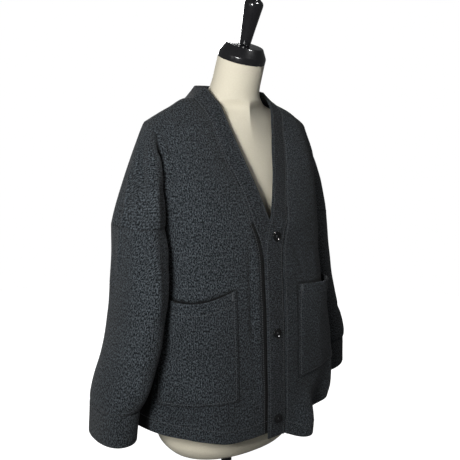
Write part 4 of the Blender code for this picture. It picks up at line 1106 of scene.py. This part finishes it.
def make_sleeve(side, knit, cuff_knit):
    """Creased sleeve and turned cuff of one side; the sleeve is gathered a little at the cuff."""
    turns = np.append(np.linspace(-SLEEVE_VALLEY, SLEEVE_VALLEY, SLEEVE_TURNS + 1),
                      np.linspace(SLEEVE_VALLEY, 360 - SLEEVE_VALLEY, UNDER_TURNS + 1)[1:])
    wrist, middle_x, middle_y = SLEEVE_SECTIONS[side][-1][:3]
    rings = sleeve_points(side, turns, np.linspace(DROP_Z - SEAM_GAP, wrist, SLEEVE_STEPS + 1))
    cuff = cuff_points(side, turns, np.linspace(0, CUFF_HEIGHT, CUFF_STEPS + 1)[1:])
    closed = np.concatenate([rings, cuff])[::-1]
    closed[:, -1] = closed[:, 0]
    around = along_grain(closed)
    around[..., 1] = closed[..., 2] + 1.0
    # painted shade on the sleeve's inner side, in the valley against the body
    inner = ease(*INNER_SHADE, np.abs((turns + 180) % 360 - 180))[None, ::-1]
    cloth = Garment()
    for name, rows, shade in (("cuff", slice(CUFF_STEPS + 1), 0.0),
                              ("sleeve", slice(CUFF_STEPS, None), inner)):
        cloth.patch(name, closed[rows, ::-1], around[rows, ::-1], side, shade)
    cloth.weld()
    height = rolling(cloth.points, 2.1 + side)
    for number, (crease_side, path, half_width, rise) in enumerate(SLEEVE_CREASES):
        if crease_side == side:
            line = np.array([sleeve_points(side, np.array([turn]), [z])[0, 0]
                             for turn, z in traced(path, 24)])
            height += pressed(cloth.points, line * (side, 1, 1), half_width * MM, rise * MM, number)
    swing = np.arctan2(cloth.points[:, 1] - middle_y, cloth.points[:, 0] - middle_x * side)
    sag = CUFF_SAG[side] * SEAM_SAG * (1 - side * np.cos(swing)) / 2
    above = cloth.points[:, 2] + sag - wrist - CUFF_SHIFT[side]
    gathers = np.sin(GATHERS * swing + 1.5 * np.sin(3 * swing)) * 0.5 + 0.5
    height += between(*BLOUSE_SLOPES, above) * CUFF_BLOUSE[side] * (0.65 + 0.35 * gathers)
    height -= CUFF_SEAM_DEPTH * np.exp(-(above / CUFF_SEAM_WIDTH) ** 2)
    cloth.points = cloth.points + cloth.normals() * height[:, None]
    mirror = (side, 1, 1)
    clear = clear_of_body(cloth.points * mirror)
    cloth.points[:, 0] = side * np.maximum(np.abs(cloth.points[:, 0]), np.abs(clear[:, 0]))
    return {name: shell(f"{name}_{SIDE_NAME[side]}_cloth", cloth, name, *wall)
            for name, wall in (("sleeve", (CLOTH, knit)), ("cuff", (CUFF_CLOTH, cuff_knit)))}


# ---------------------------------------------------------------- pockets
class Panel:
    """Reads the finished front at a share of its width and a rise."""

    def __init__(self, side, cloth, number):
        ids = cloth.grid_ids(number)
        self.side = side
        self.values = [values[ids] * (side, 1, 1) for values in (cloth.points, cloth.normals())]
        self.lines = front_columns()

    def at(self, share, z):
        """Point and normal of the front at a share and a height before creasing."""
        share, z = fitted(share, z)
        low = hem_height(self.side, VALLEY_TURN * share)
        row = np.clip((z - low) / (DROP_Z - low) * HEM_TO_DROP_ROWS, 0, HEM_TO_DROP_ROWS - 1e-6)
        last = len(self.lines) - 1
        column = np.clip(np.interp(share, self.lines, np.arange(last + 1)), 0, last - 1e-6)
        i, j = row.astype(int), column.astype(int)
        up, over = (row - i)[..., None], (column - j)[..., None]
        found = []
        for values in self.values:
            below, above = (values[k, j] * (1 - over) + values[k, j + 1] * over for k in (i, i + 1))
            found.append(below * (1 - up) + above * up)
        return found


def pocket_sides(side, z):
    """Shares of a pocket's inner and outer edge at a height."""
    first = turn_at_x(seam_x(z), z)
    inner = float((turn_at_x(POCKETS[side][0], z) - first) / (VALLEY_TURN - first))
    shares = np.linspace(inner, 90 / VALLEY_TURN, 120)
    line = front_face(side, first + (VALLEY_TURN - first) * shares, np.full_like(shares, z))
    return inner, float(np.interp(POCKET_WIDTH, summed(distances(line)), shares))


def pocket_reach(side, z):
    """Shares of a pocket's inner and outer edge at many heights."""
    heights = np.linspace(POCKETS[side][1], POCKETS[side][2], 14)
    edges = np.array([pocket_sides(side, level) for level in heights])
    return [np.interp(z, heights, edges[:, k]) for k in (0, 1)]


def mouth_height(side, across):
    """Height of a pocket's mouth at a share of its width."""
    top_inner, top_outer, dip = POCKETS[side][2:5]
    return top_inner + (top_outer - top_inner) * across - dip * np.sin(np.pi * across.clip(0, 1))


def mouth_shadow(side, share, z):
    """1 on the front just inside and above a pocket's mouth, where a painted shadow darkens the
    knit.
    """
    inner, outer = pocket_reach(side, z)
    across = (share - inner) / (outer - inner)
    over = z - mouth_height(side, across)
    return between(*MOUTH_SHADE_SIDES, across) * between(*MOUTH_SHADE_HEIGHTS, over)


def pocket_point(side, panel, across, up, extra=0.0):
    """Points of the pocket's middle surface; across and up run from 0 to 1 over its cut."""
    bottom, gape = POCKETS[side][1], POCKETS[side][5]
    across, up = fitted(across, up)
    top = mouth_height(side, across)
    z = bottom + (top - bottom) * up
    inner, outer = pocket_reach(side, z)
    point, normal = panel.at(inner + (outer - inner) * across, z)
    from_edge = np.minimum.reduce([across, 1 - across, up * 1.2]) * POCKET_WIDTH
    stand = POCKET_EDGE + (POCKET_FACE - POCKET_EDGE) * ease(0.0, POCKET_PRESS, from_edge)
    stand = stand + gape * np.sin(np.pi * np.clip(across, 0, 1)) ** MOUTH_ROUND * up.clip(0) ** 3
    stand = stand + MOUTH_FOLD * (1 - ease(POCKET_HEM - 0.003, POCKET_HEM + 0.001, top - z))
    return point + normal * (stand + extra)[..., None]


def make_pocket(side, panel, knit):
    """Patch pocket sewn on at three sides."""
    across, up = shares_of(POCKET_COLUMNS), shares_of(POCKET_ROWS)[:, None]
    grid = pocket_point(side, panel, across, up)
    cloth = Garment()
    # painted shade along the pocket's three sewn edges, where it meets the front
    side_shade, low_shade = (1 - ease(0.0, width, inwards) for width, inwards in zip(
        POCKET_SHADE, (np.minimum(across, 1 - across), up)))
    seam = np.maximum(side_shade, low_shade)
    cloth.patch("pocket", grid, along_grain(grid, 0.61, 0.33), side, POCKET_SEAM_SHADE * seam)
    cloth.weld()
    return shell(f"pocket_{SIDE_NAME[side]}_cloth", cloth, "pocket", CLOTH, knit)


# ---------------------------------------------------------------- buttons
def button_place(height):
    """Middle of the upper band at a button's height, and its outward direction."""
    (seam, edge), above, below = (placket_row(LEFT, height + step) for step in (0.0, 0.01, -0.01))
    middle = blend_rows([(seam, edge)], [0.5])[0, 0]
    outward = Vector(np.cross(seam - edge, above[0] + above[1] - below[0] - below[1])).normalized()
    return middle, outward


def lathe(name, profile, turns, material, place, sharp=42):
    """Closed turned piece from a profile of radius and height."""
    swing = np.linspace(0, 2 * math.pi, turns, endpoint=False)
    vertices, faces, rings = [], [], []
    for radius, height in profile:
        around = swing if radius >= 1e-7 else [0.0]
        rings.append(list(range(len(vertices), len(vertices) + len(around))))
        vertices += [(radius * math.cos(a), radius * math.sin(a), height) for a in around]
    for low, high in zip(rings[:-1], rings[1:]):
        for k in range(turns):
            n = (k + 1) % turns
            if len(low) == 1:
                faces.append((low[0], high[n], high[k]))
            elif len(high) == 1:
                faces.append((low[k], low[n], high[0]))
            else:
                faces.append((low[k], low[n], high[n], high[k]))
    made = new_object(name, vertices, faces, material, place)
    made.data.set_sharp_from_angle(angle=math.radians(sharp))
    return made


def rounded(profile, radius=0.0008, steps=4):
    """Profile with its inner corners turned to small arcs."""
    points = [np.array(p, float) for p in profile]
    made = [tuple(points[0])]
    for before, corner, after in zip(points[:-2], points[1:-1], points[2:]):
        back, forth = before - corner, after - corner
        reach = min(radius, 0.45 * np.linalg.norm(back), 0.45 * np.linalg.norm(forth))
        start = corner + back / np.linalg.norm(back) * reach
        end = corner + forth / np.linalg.norm(forth) * reach
        for t in np.linspace(0, 1, steps):
            made.append(tuple((1 - t) ** 2 * start + 2 * t * (1 - t) * corner + t * t * end))
    made.append(tuple(points[-1]))
    return made


# ---------------------------------------------------------------- materials
class Graph:
    """Short way to wire a material's nodes."""

    def __init__(self, name):
        self.material = bpy.data.materials.new(name)
        self.material.use_nodes = True
        self.tree = self.material.node_tree
        self.shader = self.tree.nodes["Principled BSDF"]
        self.place = self.node("TexCoord").outputs["Object"]

    def node(self, kind, inputs=(), **settings):
        made = self.tree.nodes.new("ShaderNode" + kind)
        for key, value in settings.items():
            setattr(made, key, value)
        for key, value in dict(inputs).items():
            self.feed(made.inputs[key], value)
        return made

    def feed(self, socket, value):
        if isinstance(value, bpy.types.NodeSocket):
            self.tree.links.new(value, socket)
        else:
            socket.default_value = value

    def sum(self, operation, *values):
        return self.node("Math", dict(enumerate(values)), operation=operation).outputs[0]

    def plus(self, *values):
        return self.sum("ADD", *values)

    def less(self, *values):
        return self.sum("SUBTRACT", *values)

    def times(self, *values):
        return self.sum("MULTIPLY", *values)

    def mix(self, share, first, second, blend="MIX"):
        made = self.node("Mix", data_type="RGBA", blend_type=blend)
        for number, value in ((0, share), (6, first), (7, second)):
            self.feed(made.inputs[number], value)
        return made.outputs[2]

    def noise(self, scale, detail=2.0, roughness=0.5, place=None):
        made = self.node("TexNoise", {"Vector": place or self.place, "Scale": scale,
                                      "Detail": detail, "Roughness": roughness})
        return made.outputs["Fac"]

    def stretched(self, place, *scale):
        return self.node("Mapping", {"Vector": place, "Scale": scale}).outputs[0]

    def span(self, value, low, high, to_low=0.0, to_high=1.0):
        made = self.node("MapRange", {"Value": value, "From Min": low, "From Max": high,
                                      "To Min": to_low, "To Max": to_high})
        return made.outputs[0]

    def finish(self, colour, roughness, height, distance, **constants):
        """Wire the shader and return the material; constants go to its sockets of that name."""
        self.feed(self.shader.inputs["Base Color"], colour)
        self.feed(self.shader.inputs["Roughness"], roughness)
        bump = self.node("Bump", {"Height": height, "Distance": distance, "Strength": 1.0})
        self.feed(self.shader.inputs["Normal"], bump.outputs[0])
        for key, value in constants.items():
            self.feed(self.shader.inputs[key.replace("_", " ")], value)
        return self.material


def knitted(name, dark, light, relief):
    """Heather knit with wales, rows of small V stitches and a brushed nap; painted shade darkens
    its colour in the folds.
    """
    g = Graph(name)
    grain = g.node("UVMap", uv_map="Grain").outputs[0]
    parts = g.node("SeparateXYZ", {0: grain}).outputs
    sway = g.times(g.less(g.noise(SWAY), 0.5), 1.5)
    across = g.plus(g.sum("DIVIDE", parts[0], WALE), sway)
    along = g.plus(g.sum("DIVIDE", parts[1], COURSE), g.times(sway, 0.6))
    leg = g.sum("ABSOLUTE", g.less(g.sum("FRACT", across), 0.5))
    rib = g.less(1.0, g.sum("POWER", g.times(leg, 2.0), 2.0))
    slant = g.plus(along, g.times(leg, 1.3))
    loop = g.plus(g.times(g.sum("SINE", g.times(slant, 2 * math.pi)), 0.5), 0.5)
    stitch = g.times(rib, g.plus(g.times(loop, 0.45), 0.55))
    nap, tufts = g.noise(NAP, 3.0, 0.7), g.noise(TUFTS, 2.0, 0.6)
    height = g.plus(g.times(stitch, 0.55), g.plus(g.times(nap, 0.35), g.times(tufts, 0.45)))
    tone = g.span(g.noise(CLOUD, 3.0), 0.3, 0.7, 0.88, 1.12)
    fine = g.span(g.noise(FINE, 2.0, 0.6), 0.38, 0.62)
    broad = g.span(g.noise(BROAD, 2.0, 0.6, g.stretched(grain, 1.0, 0.62, 1.0)), 0.38, 0.62)
    thread = g.plus(g.times(stitch, 0.24), g.plus(g.times(fine, 0.22), g.times(broad, 0.54)))
    colour = g.mix(g.span(thread, 0.36, 0.86), (*dark, 1), (*light, 1))
    fleck = g.times(g.span(g.noise(FLECK, 1.0), 0.66, 0.74), 0.55)
    colour = g.mix(fleck, colour, (*(2.6 * np.array(light)), 1))
    # painted shade: the colour is darkened where the points' fold shade is high
    fold = g.node("Attribute", attribute_name="Fold").outputs["Fac"]
    tone = g.times(tone, g.less(1.0, g.times(fold, FOLD_PAINTED_SHADE)))
    shade = g.node("CombineColor", {0: tone, 1: tone, 2: tone}).outputs[0]
    return g.finish(g.mix(1.0, colour, shade, "MULTIPLY"), 0.93, height, relief,
                    Sheen_Weight=0.07, Sheen_Roughness=0.5, Specular_IOR_Level=0.18)


def form_cover():
    """Tight fine ivory cloth over the form."""
    g = Graph("ivory form cover")
    parts = g.node("SeparateXYZ", {0: g.place}).outputs
    weave = g.times(*(g.sum("SINE", g.times(parts[k], 2 * math.pi / COVER_THREAD)) for k in (0, 2)))
    slub = g.noise(260.0, 3.0, place=g.stretched(g.place, 1.0, 1.0, 6.0))
    height = g.plus(g.times(weave, 0.3), slub)
    colour = g.mix(g.span(slub, 0.3, 0.7), (0.80, 0.735, 0.575, 1), (0.86, 0.80, 0.645, 1))
    return g.finish(colour, 0.78, height, 0.00018, Sheen_Weight=0.08, Specular_IOR_Level=0.25)


def black_gloss(name, roughness, relief, depth=1.0):
    """Lacquer with a barely uneven gloss; depth scales how light the black is."""
    g = Graph(name)
    cloud = g.noise(60.0, 3.0)
    rub = g.span(cloud, 0.3, 0.7, roughness * 0.8, roughness * 1.3)
    tones = ((*(tone * depth * np.array((1.0, 1.0, 1.12))), 1) for tone in (0.008, 0.016))
    return g.finish(g.mix(cloud, *tones), rub, g.noise(240.0, 2.0), relief,
                    Coat_Weight=0.4, Coat_Roughness=0.12)


def thread_material(name, colour):
    """Twisted sewing thread."""
    g = Graph(name)
    twist = g.noise(2600.0, 2.0)
    colour = g.mix(twist, (*colour, 1), (*(1.6 * np.array(colour)), 1))
    return g.finish(colour, 0.7, twist, 0.0001, Sheen_Weight=0.1)


# ---------------------------------------------------------------- sewing
def stitch_tree(material):
    """Node tree that sets small thread stitches along the edges of a line."""
    tree = bpy.data.node_groups.new("Stitch row", "GeometryNodeTree")
    tree.interface.new_socket("Line", in_out="INPUT", socket_type="NodeSocketGeometry")
    sizes = {"Pitch": STITCH_PITCH, "Length": STITCH_LENGTH, "Thread": THREAD_RADIUS}
    for name, value in sizes.items():
        socket = tree.interface.new_socket(name, in_out="INPUT", socket_type="NodeSocketFloat")
        socket.default_value = value
    tree.interface.new_socket("Stitches", in_out="OUTPUT", socket_type="NodeSocketGeometry")

    def node(kind, inputs=(), **settings):
        made = tree.nodes.new(kind)
        for key, value in settings.items():
            setattr(made, key, value)
        for key, value in dict(inputs).items():
            socket = made.inputs[key]
            if isinstance(value, bpy.types.NodeSocket):
                tree.links.new(value, socket)
            else:
                socket.default_value = value
        return made

    given = node("NodeGroupInput").outputs
    curve = node("GeometryNodeMeshToCurve", {0: given["Line"]}).outputs[0]
    spots = node("GeometryNodeResampleCurve", {0: curve, "Length": given["Pitch"]}, mode="LENGTH")
    ball = node("GeometryNodeMeshUVSphere", {"Segments": 6, "Rings": 5, "Radius": 1.0})
    tangent = node("GeometryNodeInputTangent").outputs[0]
    turn = node("FunctionNodeAlignEulerToVector", {"Vector": tangent}, axis="X")
    half = node("ShaderNodeMath", {0: given["Length"], 1: 0.5}, operation="MULTIPLY").outputs[0]
    size = node("ShaderNodeCombineXYZ", {0: half, 1: given["Thread"], 2: given["Thread"]})
    placed = node("GeometryNodeInstanceOnPoints", {
        "Points": spots.outputs[0], "Instance": ball.outputs[0],
        "Rotation": turn.outputs[0], "Scale": size.outputs[0]})
    real = node("GeometryNodeRealizeInstances", {0: placed.outputs[0]}).outputs[0]
    sewn = node("GeometryNodeSetMaterial", {"Geometry": real, "Material": material}).outputs[0]
    node("NodeGroupOutput", {0: sewn})
    return tree


def sewn_lines(name, lines, tree, material, pitch=STITCH_PITCH, length=STITCH_LENGTH):
    """One mesh of stitches along several lines on the cloth."""
    vertices, edges = [], []
    for line in lines:
        start = len(vertices)
        vertices += list(np.asarray(line) + TO_NECK)
        edges += [(k, k + 1) for k in range(start, len(vertices) - 1)]
    made = new_object(name, vertices, [], edges=edges)
    rows = made.modifiers.new("stitches", "NODES")
    rows.node_group = tree
    sizes = {"Pitch": pitch, "Length": length}
    for item in tree.interface.items_tree:
        if item.item_type == "SOCKET" and item.in_out == "INPUT" and item.name in sizes:
            rows[item.identifier] = sizes[item.name]
    mesh = finished(made).data
    mesh.materials.clear()
    mesh.materials.append(material)
    mesh.shade_smooth()
    return made


def grid_line(cloth, number, height_over_hem):
    """Line on a skirt patch at a height over its hem."""
    ids = cloth.grid_ids(number)
    points, normals = cloth.points[ids], cloth.normals()[ids]
    over = np.abs(points[..., 2] - points[:1, :, 2])
    line = []
    for j in range(ids.shape[1]):
        i = int(np.clip(np.searchsorted(over[:, j], height_over_hem) - 1, 0, ids.shape[0] - 2))
        t = (height_over_hem - over[i, j]) / (over[i + 1, j] - over[i, j])
        point = points[i, j] * (1 - t) + points[i + 1, j] * t
        line.append(point + normals[i, j] * (CLOTH / 2 + THREAD_OUT))
    return line


def column_line(cloth, number, column, thickness):
    """Line along a column of a patch, on the outer face."""
    ids = cloth.grid_ids(number)[:, column]
    return cloth.points[ids] + cloth.normals()[ids] * (thickness / 2 + THREAD_OUT)


def pocket_lines(side, panel):
    """Topstitching of a pocket: round its three sewn sides, across its mouth and the bar tacks."""
    def on_pocket(across, up):
        across, up = fitted(across, up)
        return pocket_point(side, panel, across, up, CLOTH / 2 + THREAD_OUT) * (side, 1, 1)

    inset, low, top = STITCH_INSET / POCKET_WIDTH, STITCH_INSET / 0.22, 0.985
    over = inset + (1 - 2 * inset) * np.linspace(0, 1, 90)
    down = np.linspace(top, low, 60)
    seam = on_pocket(np.concatenate([np.full(60, inset), over, np.full(60, 1 - inset)]),
                     np.concatenate([down, np.full(90, low), down[::-1]]))
    mouth = on_pocket(over, 1 - POCKET_HEM / 0.225)
    tacks = [on_pocket(middle + step, np.linspace(*TACK_SPAN, 12))
             for middle in (inset * 1.4, 1 - inset * 1.4) for step in (-TACK_STEP, 0.0, TACK_STEP)]
    return [seam, mouth], tacks


def buttonhole_lines(height):
    """Two stitched lips of a buttonhole across the upper band, under and beside its button."""
    middle, outward = button_place(height)
    seam, edge = placket_row(LEFT, height)
    along = (edge - seam) / np.linalg.norm(edge - seam)
    run = np.linspace(-BUTTONHOLE_HALF, BUTTONHOLE_HALF, 24)[:, None]
    line = middle + along * run + np.array(outward) * (BAND_CLOTH / 2 + THREAD_RADIUS)
    return [line + (0.0, 0.0, step) for step in (-BUTTONHOLE_LIP, BUTTONHOLE_LIP)]


# ---------------------------------------------------------------- dress form and buttons
def make_form(cover):
    """Smooth torso and neck through the same sections as the solid."""
    turns = np.radians(np.linspace(0, 360, FORM_TURNS + 1)[:-1])
    rings = []
    for z in [*np.linspace(-0.775, -0.75, 3), *np.linspace(-0.73, SHOULDER_TOP_Z, 34),
              *[row[0] for row in FORM_SECTIONS if row[0] > SHOULDER_TOP_Z]]:
        half, front, back, middle, power = read(FORM_SECTIONS, z)
        depth = np.where(np.sin(turns) < 0, front, back)
        rings.append(joined(half * powered(np.cos(turns), power),
                            middle + depth * powered(np.sin(turns), power), z))
    for way, radius, tilt in NECK_RINGS:
        lean = math.radians(tilt)
        flat = joined(np.cos(turns), np.sin(turns) * math.cos(lean), np.sin(turns) * math.sin(lean))
        rings.append(neck_axis(way) + radius * flat)
    rings = np.array(rings)
    run = summed(distances(rings).mean(axis=1))
    fine = through(run, rings.reshape(len(rings), -1), np.linspace(0, run[-1], FORM_RINGS))
    fine = fine.reshape(FORM_RINGS, -1, 3)
    for _ in range(NECK_SMOOTHING):
        eased = (fine[:-2] + 2 * fine[1:-1] + fine[2:]) / 4
        fine[1:-1] += (eased - fine[1:-1]) * between(*NECK_SLOPES, eased[..., 2:])
    ids = np.arange(FORM_RINGS * FORM_TURNS).reshape(FORM_RINGS, FORM_TURNS)
    quads = cell_corners(np.hstack([ids, ids[:, :1]])).reshape(-1, 4).tolist()
    quads += [ids[0, ::-1].tolist(), ids[-1].tolist()]
    made = new_object("form_cover", fine.reshape(-1, 3) + TO_NECK, quads, cover)
    made.data.set_sharp_from_angle(angle=math.radians(50))
    return made


def make_stand(lacquer):
    """Finer turned cap, finial and base, and the pole."""
    lean = Matrix.Rotation(math.radians(NECK_LEAN), 4, "X")
    top = NECK_RINGS[-1][0]
    cap, finial = (Matrix.Translation(Vector(neck_axis(way) + TO_NECK)) @ lean
                   for way in (top + SEAT, top + CAP_PROFILE[-1][1] + 2 * SEAT))
    low, high = BASE_PROFILE[-1][1] + SEAT, SIDE_NECK_Z + FORM_SECTIONS[0][0] - SEAT
    pole = [(0.0, low), (POLE_RADIUS, low), (POLE_RADIUS, high), (0.0, high)]
    return {"form_" + name: lathe(name + "_turned", rounded(profile, radius), turns, lacquer, place)
            for name, profile, radius, turns, place in (
                ("cap", CAP_PROFILE, 0.0012, 96, cap),
                ("finial", FINIAL_PROFILE, 0.0030, 64, finial),
                ("base", BASE_PROFILE, 0.0030, 128, None),
                ("pole", pole, 0.0004, 48, None))}


def bored(made, cutter):
    """Cut the thread holes."""
    cut = made.modifiers.new("holes", "BOOLEAN")
    cut.operation, cut.solver, cut.object = "DIFFERENCE", "EXACT", cutter
    finished(made)
    bpy.data.objects.remove(cutter)


def tube(points, radius, sides, vertices, faces):
    """Add a closed thin tube along points to lists of vertices and faces."""
    points = [Vector(p) for p in points]
    start = len(vertices)
    for k, point in enumerate(points):
        ahead = points[min(k + 1, len(points) - 1)] - points[max(k - 1, 0)]
        turn = ahead.to_track_quat("Z", "Y")
        for n in range(sides):
            a = 2 * math.pi * n / sides
            rim = Vector((radius * math.cos(a), radius * math.sin(a), 0))
            vertices.append(tuple(point + turn @ rim))
    for k in range(len(points) - 1):
        for n in range(sides):
            m = (n + 1) % sides
            faces.append((start + k * sides + n, start + k * sides + m,
                          start + (k + 1) * sides + m, start + (k + 1) * sides + n))
    faces.append(tuple(start + n for n in range(sides))[::-1])
    faces.append(tuple(start + (len(points) - 1) * sides + n for n in range(sides)))


def make_button(number, height, gloss, thread):
    """Dished four-hole button and the thread that holds it."""
    middle, outward = button_place(height)
    foot = Vector(middle) + outward * (BAND_CLOTH / 2 + SEAT) + Vector(TO_NECK)
    place = Matrix.Translation(foot) @ outward.to_track_quat("Z", "Y").to_matrix().to_4x4()
    disc = lathe(f"button_{number}_disc", rounded(BUTTON_PROFILE, 0.0007, 5), 72, gloss, place)
    holes, vertices, faces = [], [], []
    for corner in np.radians((45, 135, 225, 315)):
        spot = Vector((math.cos(corner), math.sin(corner), 0)) * BUTTON_HOLE_OUT
        holes.append(spot)
        ends = [spot + Vector((0, 0, z)) for z in (-0.002, 0.007)]
        tube(ends, BUTTON_HOLE, 20, vertices, faces)
    bored(disc, new_object("holes", vertices, faces, place=place))
    disc.data.shade_smooth()
    disc.data.set_sharp_from_angle(angle=math.radians(40))
    vertices, faces = [], []
    for first, second in ((0, 2), (1, 3), (0, 1), (2, 3)):
        a, ab = holes[first], holes[second] - holes[first]
        beside = ab.cross(Vector((0, 0, 1))).normalized()
        for offset in (-THREAD_BESIDE, THREAD_BESIDE):
            run = [a + ab * t + beside * offset
                   + Vector((0, 0, 0.0012 + 0.0020 * math.sin(math.pi * t) ** 0.5))
                   for t in np.linspace(0, 1, 9)]
            tube(run, BUTTON_THREAD, 6, vertices, faces)
    return disc, new_object(f"button_{number}_thread", vertices, faces, thread, place)


# ---------------------------------------------------------------- studio
def plain(name, colour, glow):
    """Matt material of the room, with a glow of its own."""
    made = bpy.data.materials.new(name)
    made.use_nodes = True
    shader = made.node_tree.nodes["Principled BSDF"]
    for key, value in (("Base Color", (*colour, 1)), ("Roughness", 0.9),
                       ("Emission Color", (1, 1, 1, 1)), ("Emission Strength", glow)):
        shader.inputs[key].default_value = value
    return made


def bearing(turn, pitch):
    """Direction from the object at a turn from its front and a height angle, in degrees."""
    a, e = math.radians(turn), math.radians(pitch)
    return Vector((math.sin(a) * math.cos(e), -math.cos(a) * math.cos(e), math.sin(e)))


def studio():
    """Pale floor, white surround that only the camera sees, and soft light."""
    bpy.ops.mesh.primitive_circle_add(vertices=96, radius=FLOOR_RADIUS, fill_type="NGON",
                                      location=(0, 0, 0))
    floor = bpy.context.object
    floor.name = "studio_floor"
    floor.data.materials.append(plain("pale floor", [FLOOR_TONE] * 3, FLOOR_GLOW))
    bpy.ops.mesh.primitive_uv_sphere_add(segments=48, ring_count=24, radius=SURROUND_RADIUS,
                                         location=(0, 0, 0))
    surround = bpy.context.object
    surround.name = "studio_surround"
    surround.data.materials.append(plain("white surround", (0, 0, 0), 1.0))
    for piece in (floor, surround):
        piece.visible_diffuse = piece.visible_glossy = piece.visible_transmission = False
    surround.visible_shadow = False
    world = bpy.data.worlds.new("soft room")
    world.use_nodes = True
    sky = world.node_tree.nodes["Background"].inputs
    sky[0].default_value, sky[1].default_value = (0.96, 0.98, 1.0, 1), ROOM_LIGHT
    bpy.context.scene.world = world
    for name, turn, pitch, distance, size, power, full in LAMPS:
        back = bearing(turn, pitch)
        data = bpy.data.lights.new(name, "AREA")
        data.shape, data.size, data.energy = "DISK", size, power
        lamp = bpy.data.objects.new(name, data)
        lamp.visible_diffuse = full
        lamp.location = Vector((0, 0, LAMP_AIM)) + back * distance
        lamp.rotation_mode = "QUATERNION"
        lamp.rotation_quaternion = back.to_track_quat("Z", "Y")
        bpy.context.scene.collection.objects.link(lamp)
    bpy.context.scene.view_settings.view_transform = "Standard"


def camera():
    """Camera fitted to the photographed view."""
    back, roll = bearing(VIEW_TURN, VIEW_PITCH), math.radians(VIEW_ROLL)
    right = (-back).cross(Vector((0, 0, 1))).normalized()
    up = right.cross(-back)
    across = math.cos(roll) * right + math.sin(roll) * up
    above = -math.sin(roll) * right + math.cos(roll) * up
    data = bpy.data.cameras.new("view")
    data.lens, data.sensor_width, data.sensor_fit = VIEW_LENS, 36.0, "HORIZONTAL"
    data.clip_start, data.clip_end = 0.05, 30.0
    made = bpy.data.objects.new("view", data)
    made.matrix_world = Matrix((across, above, back)).transposed().to_4x4()
    made.matrix_world.translation = Vector(VIEW_TARGET) + right * VIEW_RIGHT + back * VIEW_DISTANCE
    bpy.context.scene.collection.objects.link(made)
    bpy.context.scene.camera = made


# ---------------------------------------------------------------- putting it together
def stand_in(piece, node):
    """The piece takes the place of its solid."""
    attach(piece, "root")
    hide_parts(node)


def sewn_on(piece):
    """The piece adds to the cloth or the button under it."""
    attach(piece, "root")


def main():
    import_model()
    knit, band_knit, cuff_knit = (knitted(*values) for values in KNITS)
    grey_thread = thread_material("grey sewing thread", (0.048, 0.054, 0.059))
    black_thread = thread_material("black sewing thread", (0.015, 0.016, 0.018))
    lacquer = black_gloss("black lacquer", 0.16, 0.00004)
    gloss = black_gloss("black button gloss", 0.10, 0.00002, 0.2)

    cloth, skirts = sewn_cloth()
    crease_garment(cloth)
    panels = make_panels(cloth, knit, band_knit)
    for name, piece in panels.items():
        stand_in(piece, name)
    tree = stitch_tree(grey_thread)
    for side in (RIGHT, LEFT):
        side_name = SIDE_NAME[side]
        for name, piece in make_sleeve(side, knit, cuff_knit).items():
            stand_in(piece, f"{name}_{side_name}")
        first = skirts[side]
        panel = Panel(side, cloth, first)
        pocket = make_pocket(side, panel, knit)
        stand_in(pocket, "pocket_" + side_name)
        seams, tacks = pocket_lines(side, panel)
        hems = [grid_line(cloth, first + step, HEM_FOLD) for step in SKIRT_PATCHES]
        front = [column_line(cloth, first + step, 1, CLOTH)[step:] for step in (0, 1)]
        band = [column_line(cloth, first + BAND_PATCH, column, BAND_CLOTH) for column in (1, -2)]
        for name, lines, *spacing in (
                ("pocket_{}_topstitch", seams), ("pocket_{}_tacks", tacks, 0.0017, 0.0024),
                ("body_{}_topstitch", [*hems, np.vstack(front), *band])):
            sewn_on(sewn_lines(name.format(side_name), lines, tree, grey_thread, *spacing))
    for number, height in enumerate(BUTTON_HEIGHTS, 1):
        disc, cross = make_button(number, height, gloss, black_thread)
        stand_in(disc, f"button_{number}")
        sewn_on(cross)
        lips = buttonhole_lines(height)
        lips = sewn_lines(f"buttonhole_{number}", lips, tree, black_thread, 0.0012, 0.0018)
        sewn_on(lips)
    stand_in(make_form(form_cover()), "form_torso")
    for node, piece in make_stand(lacquer).items():
        stand_in(piece, node)
    studio()
    camera()


main()
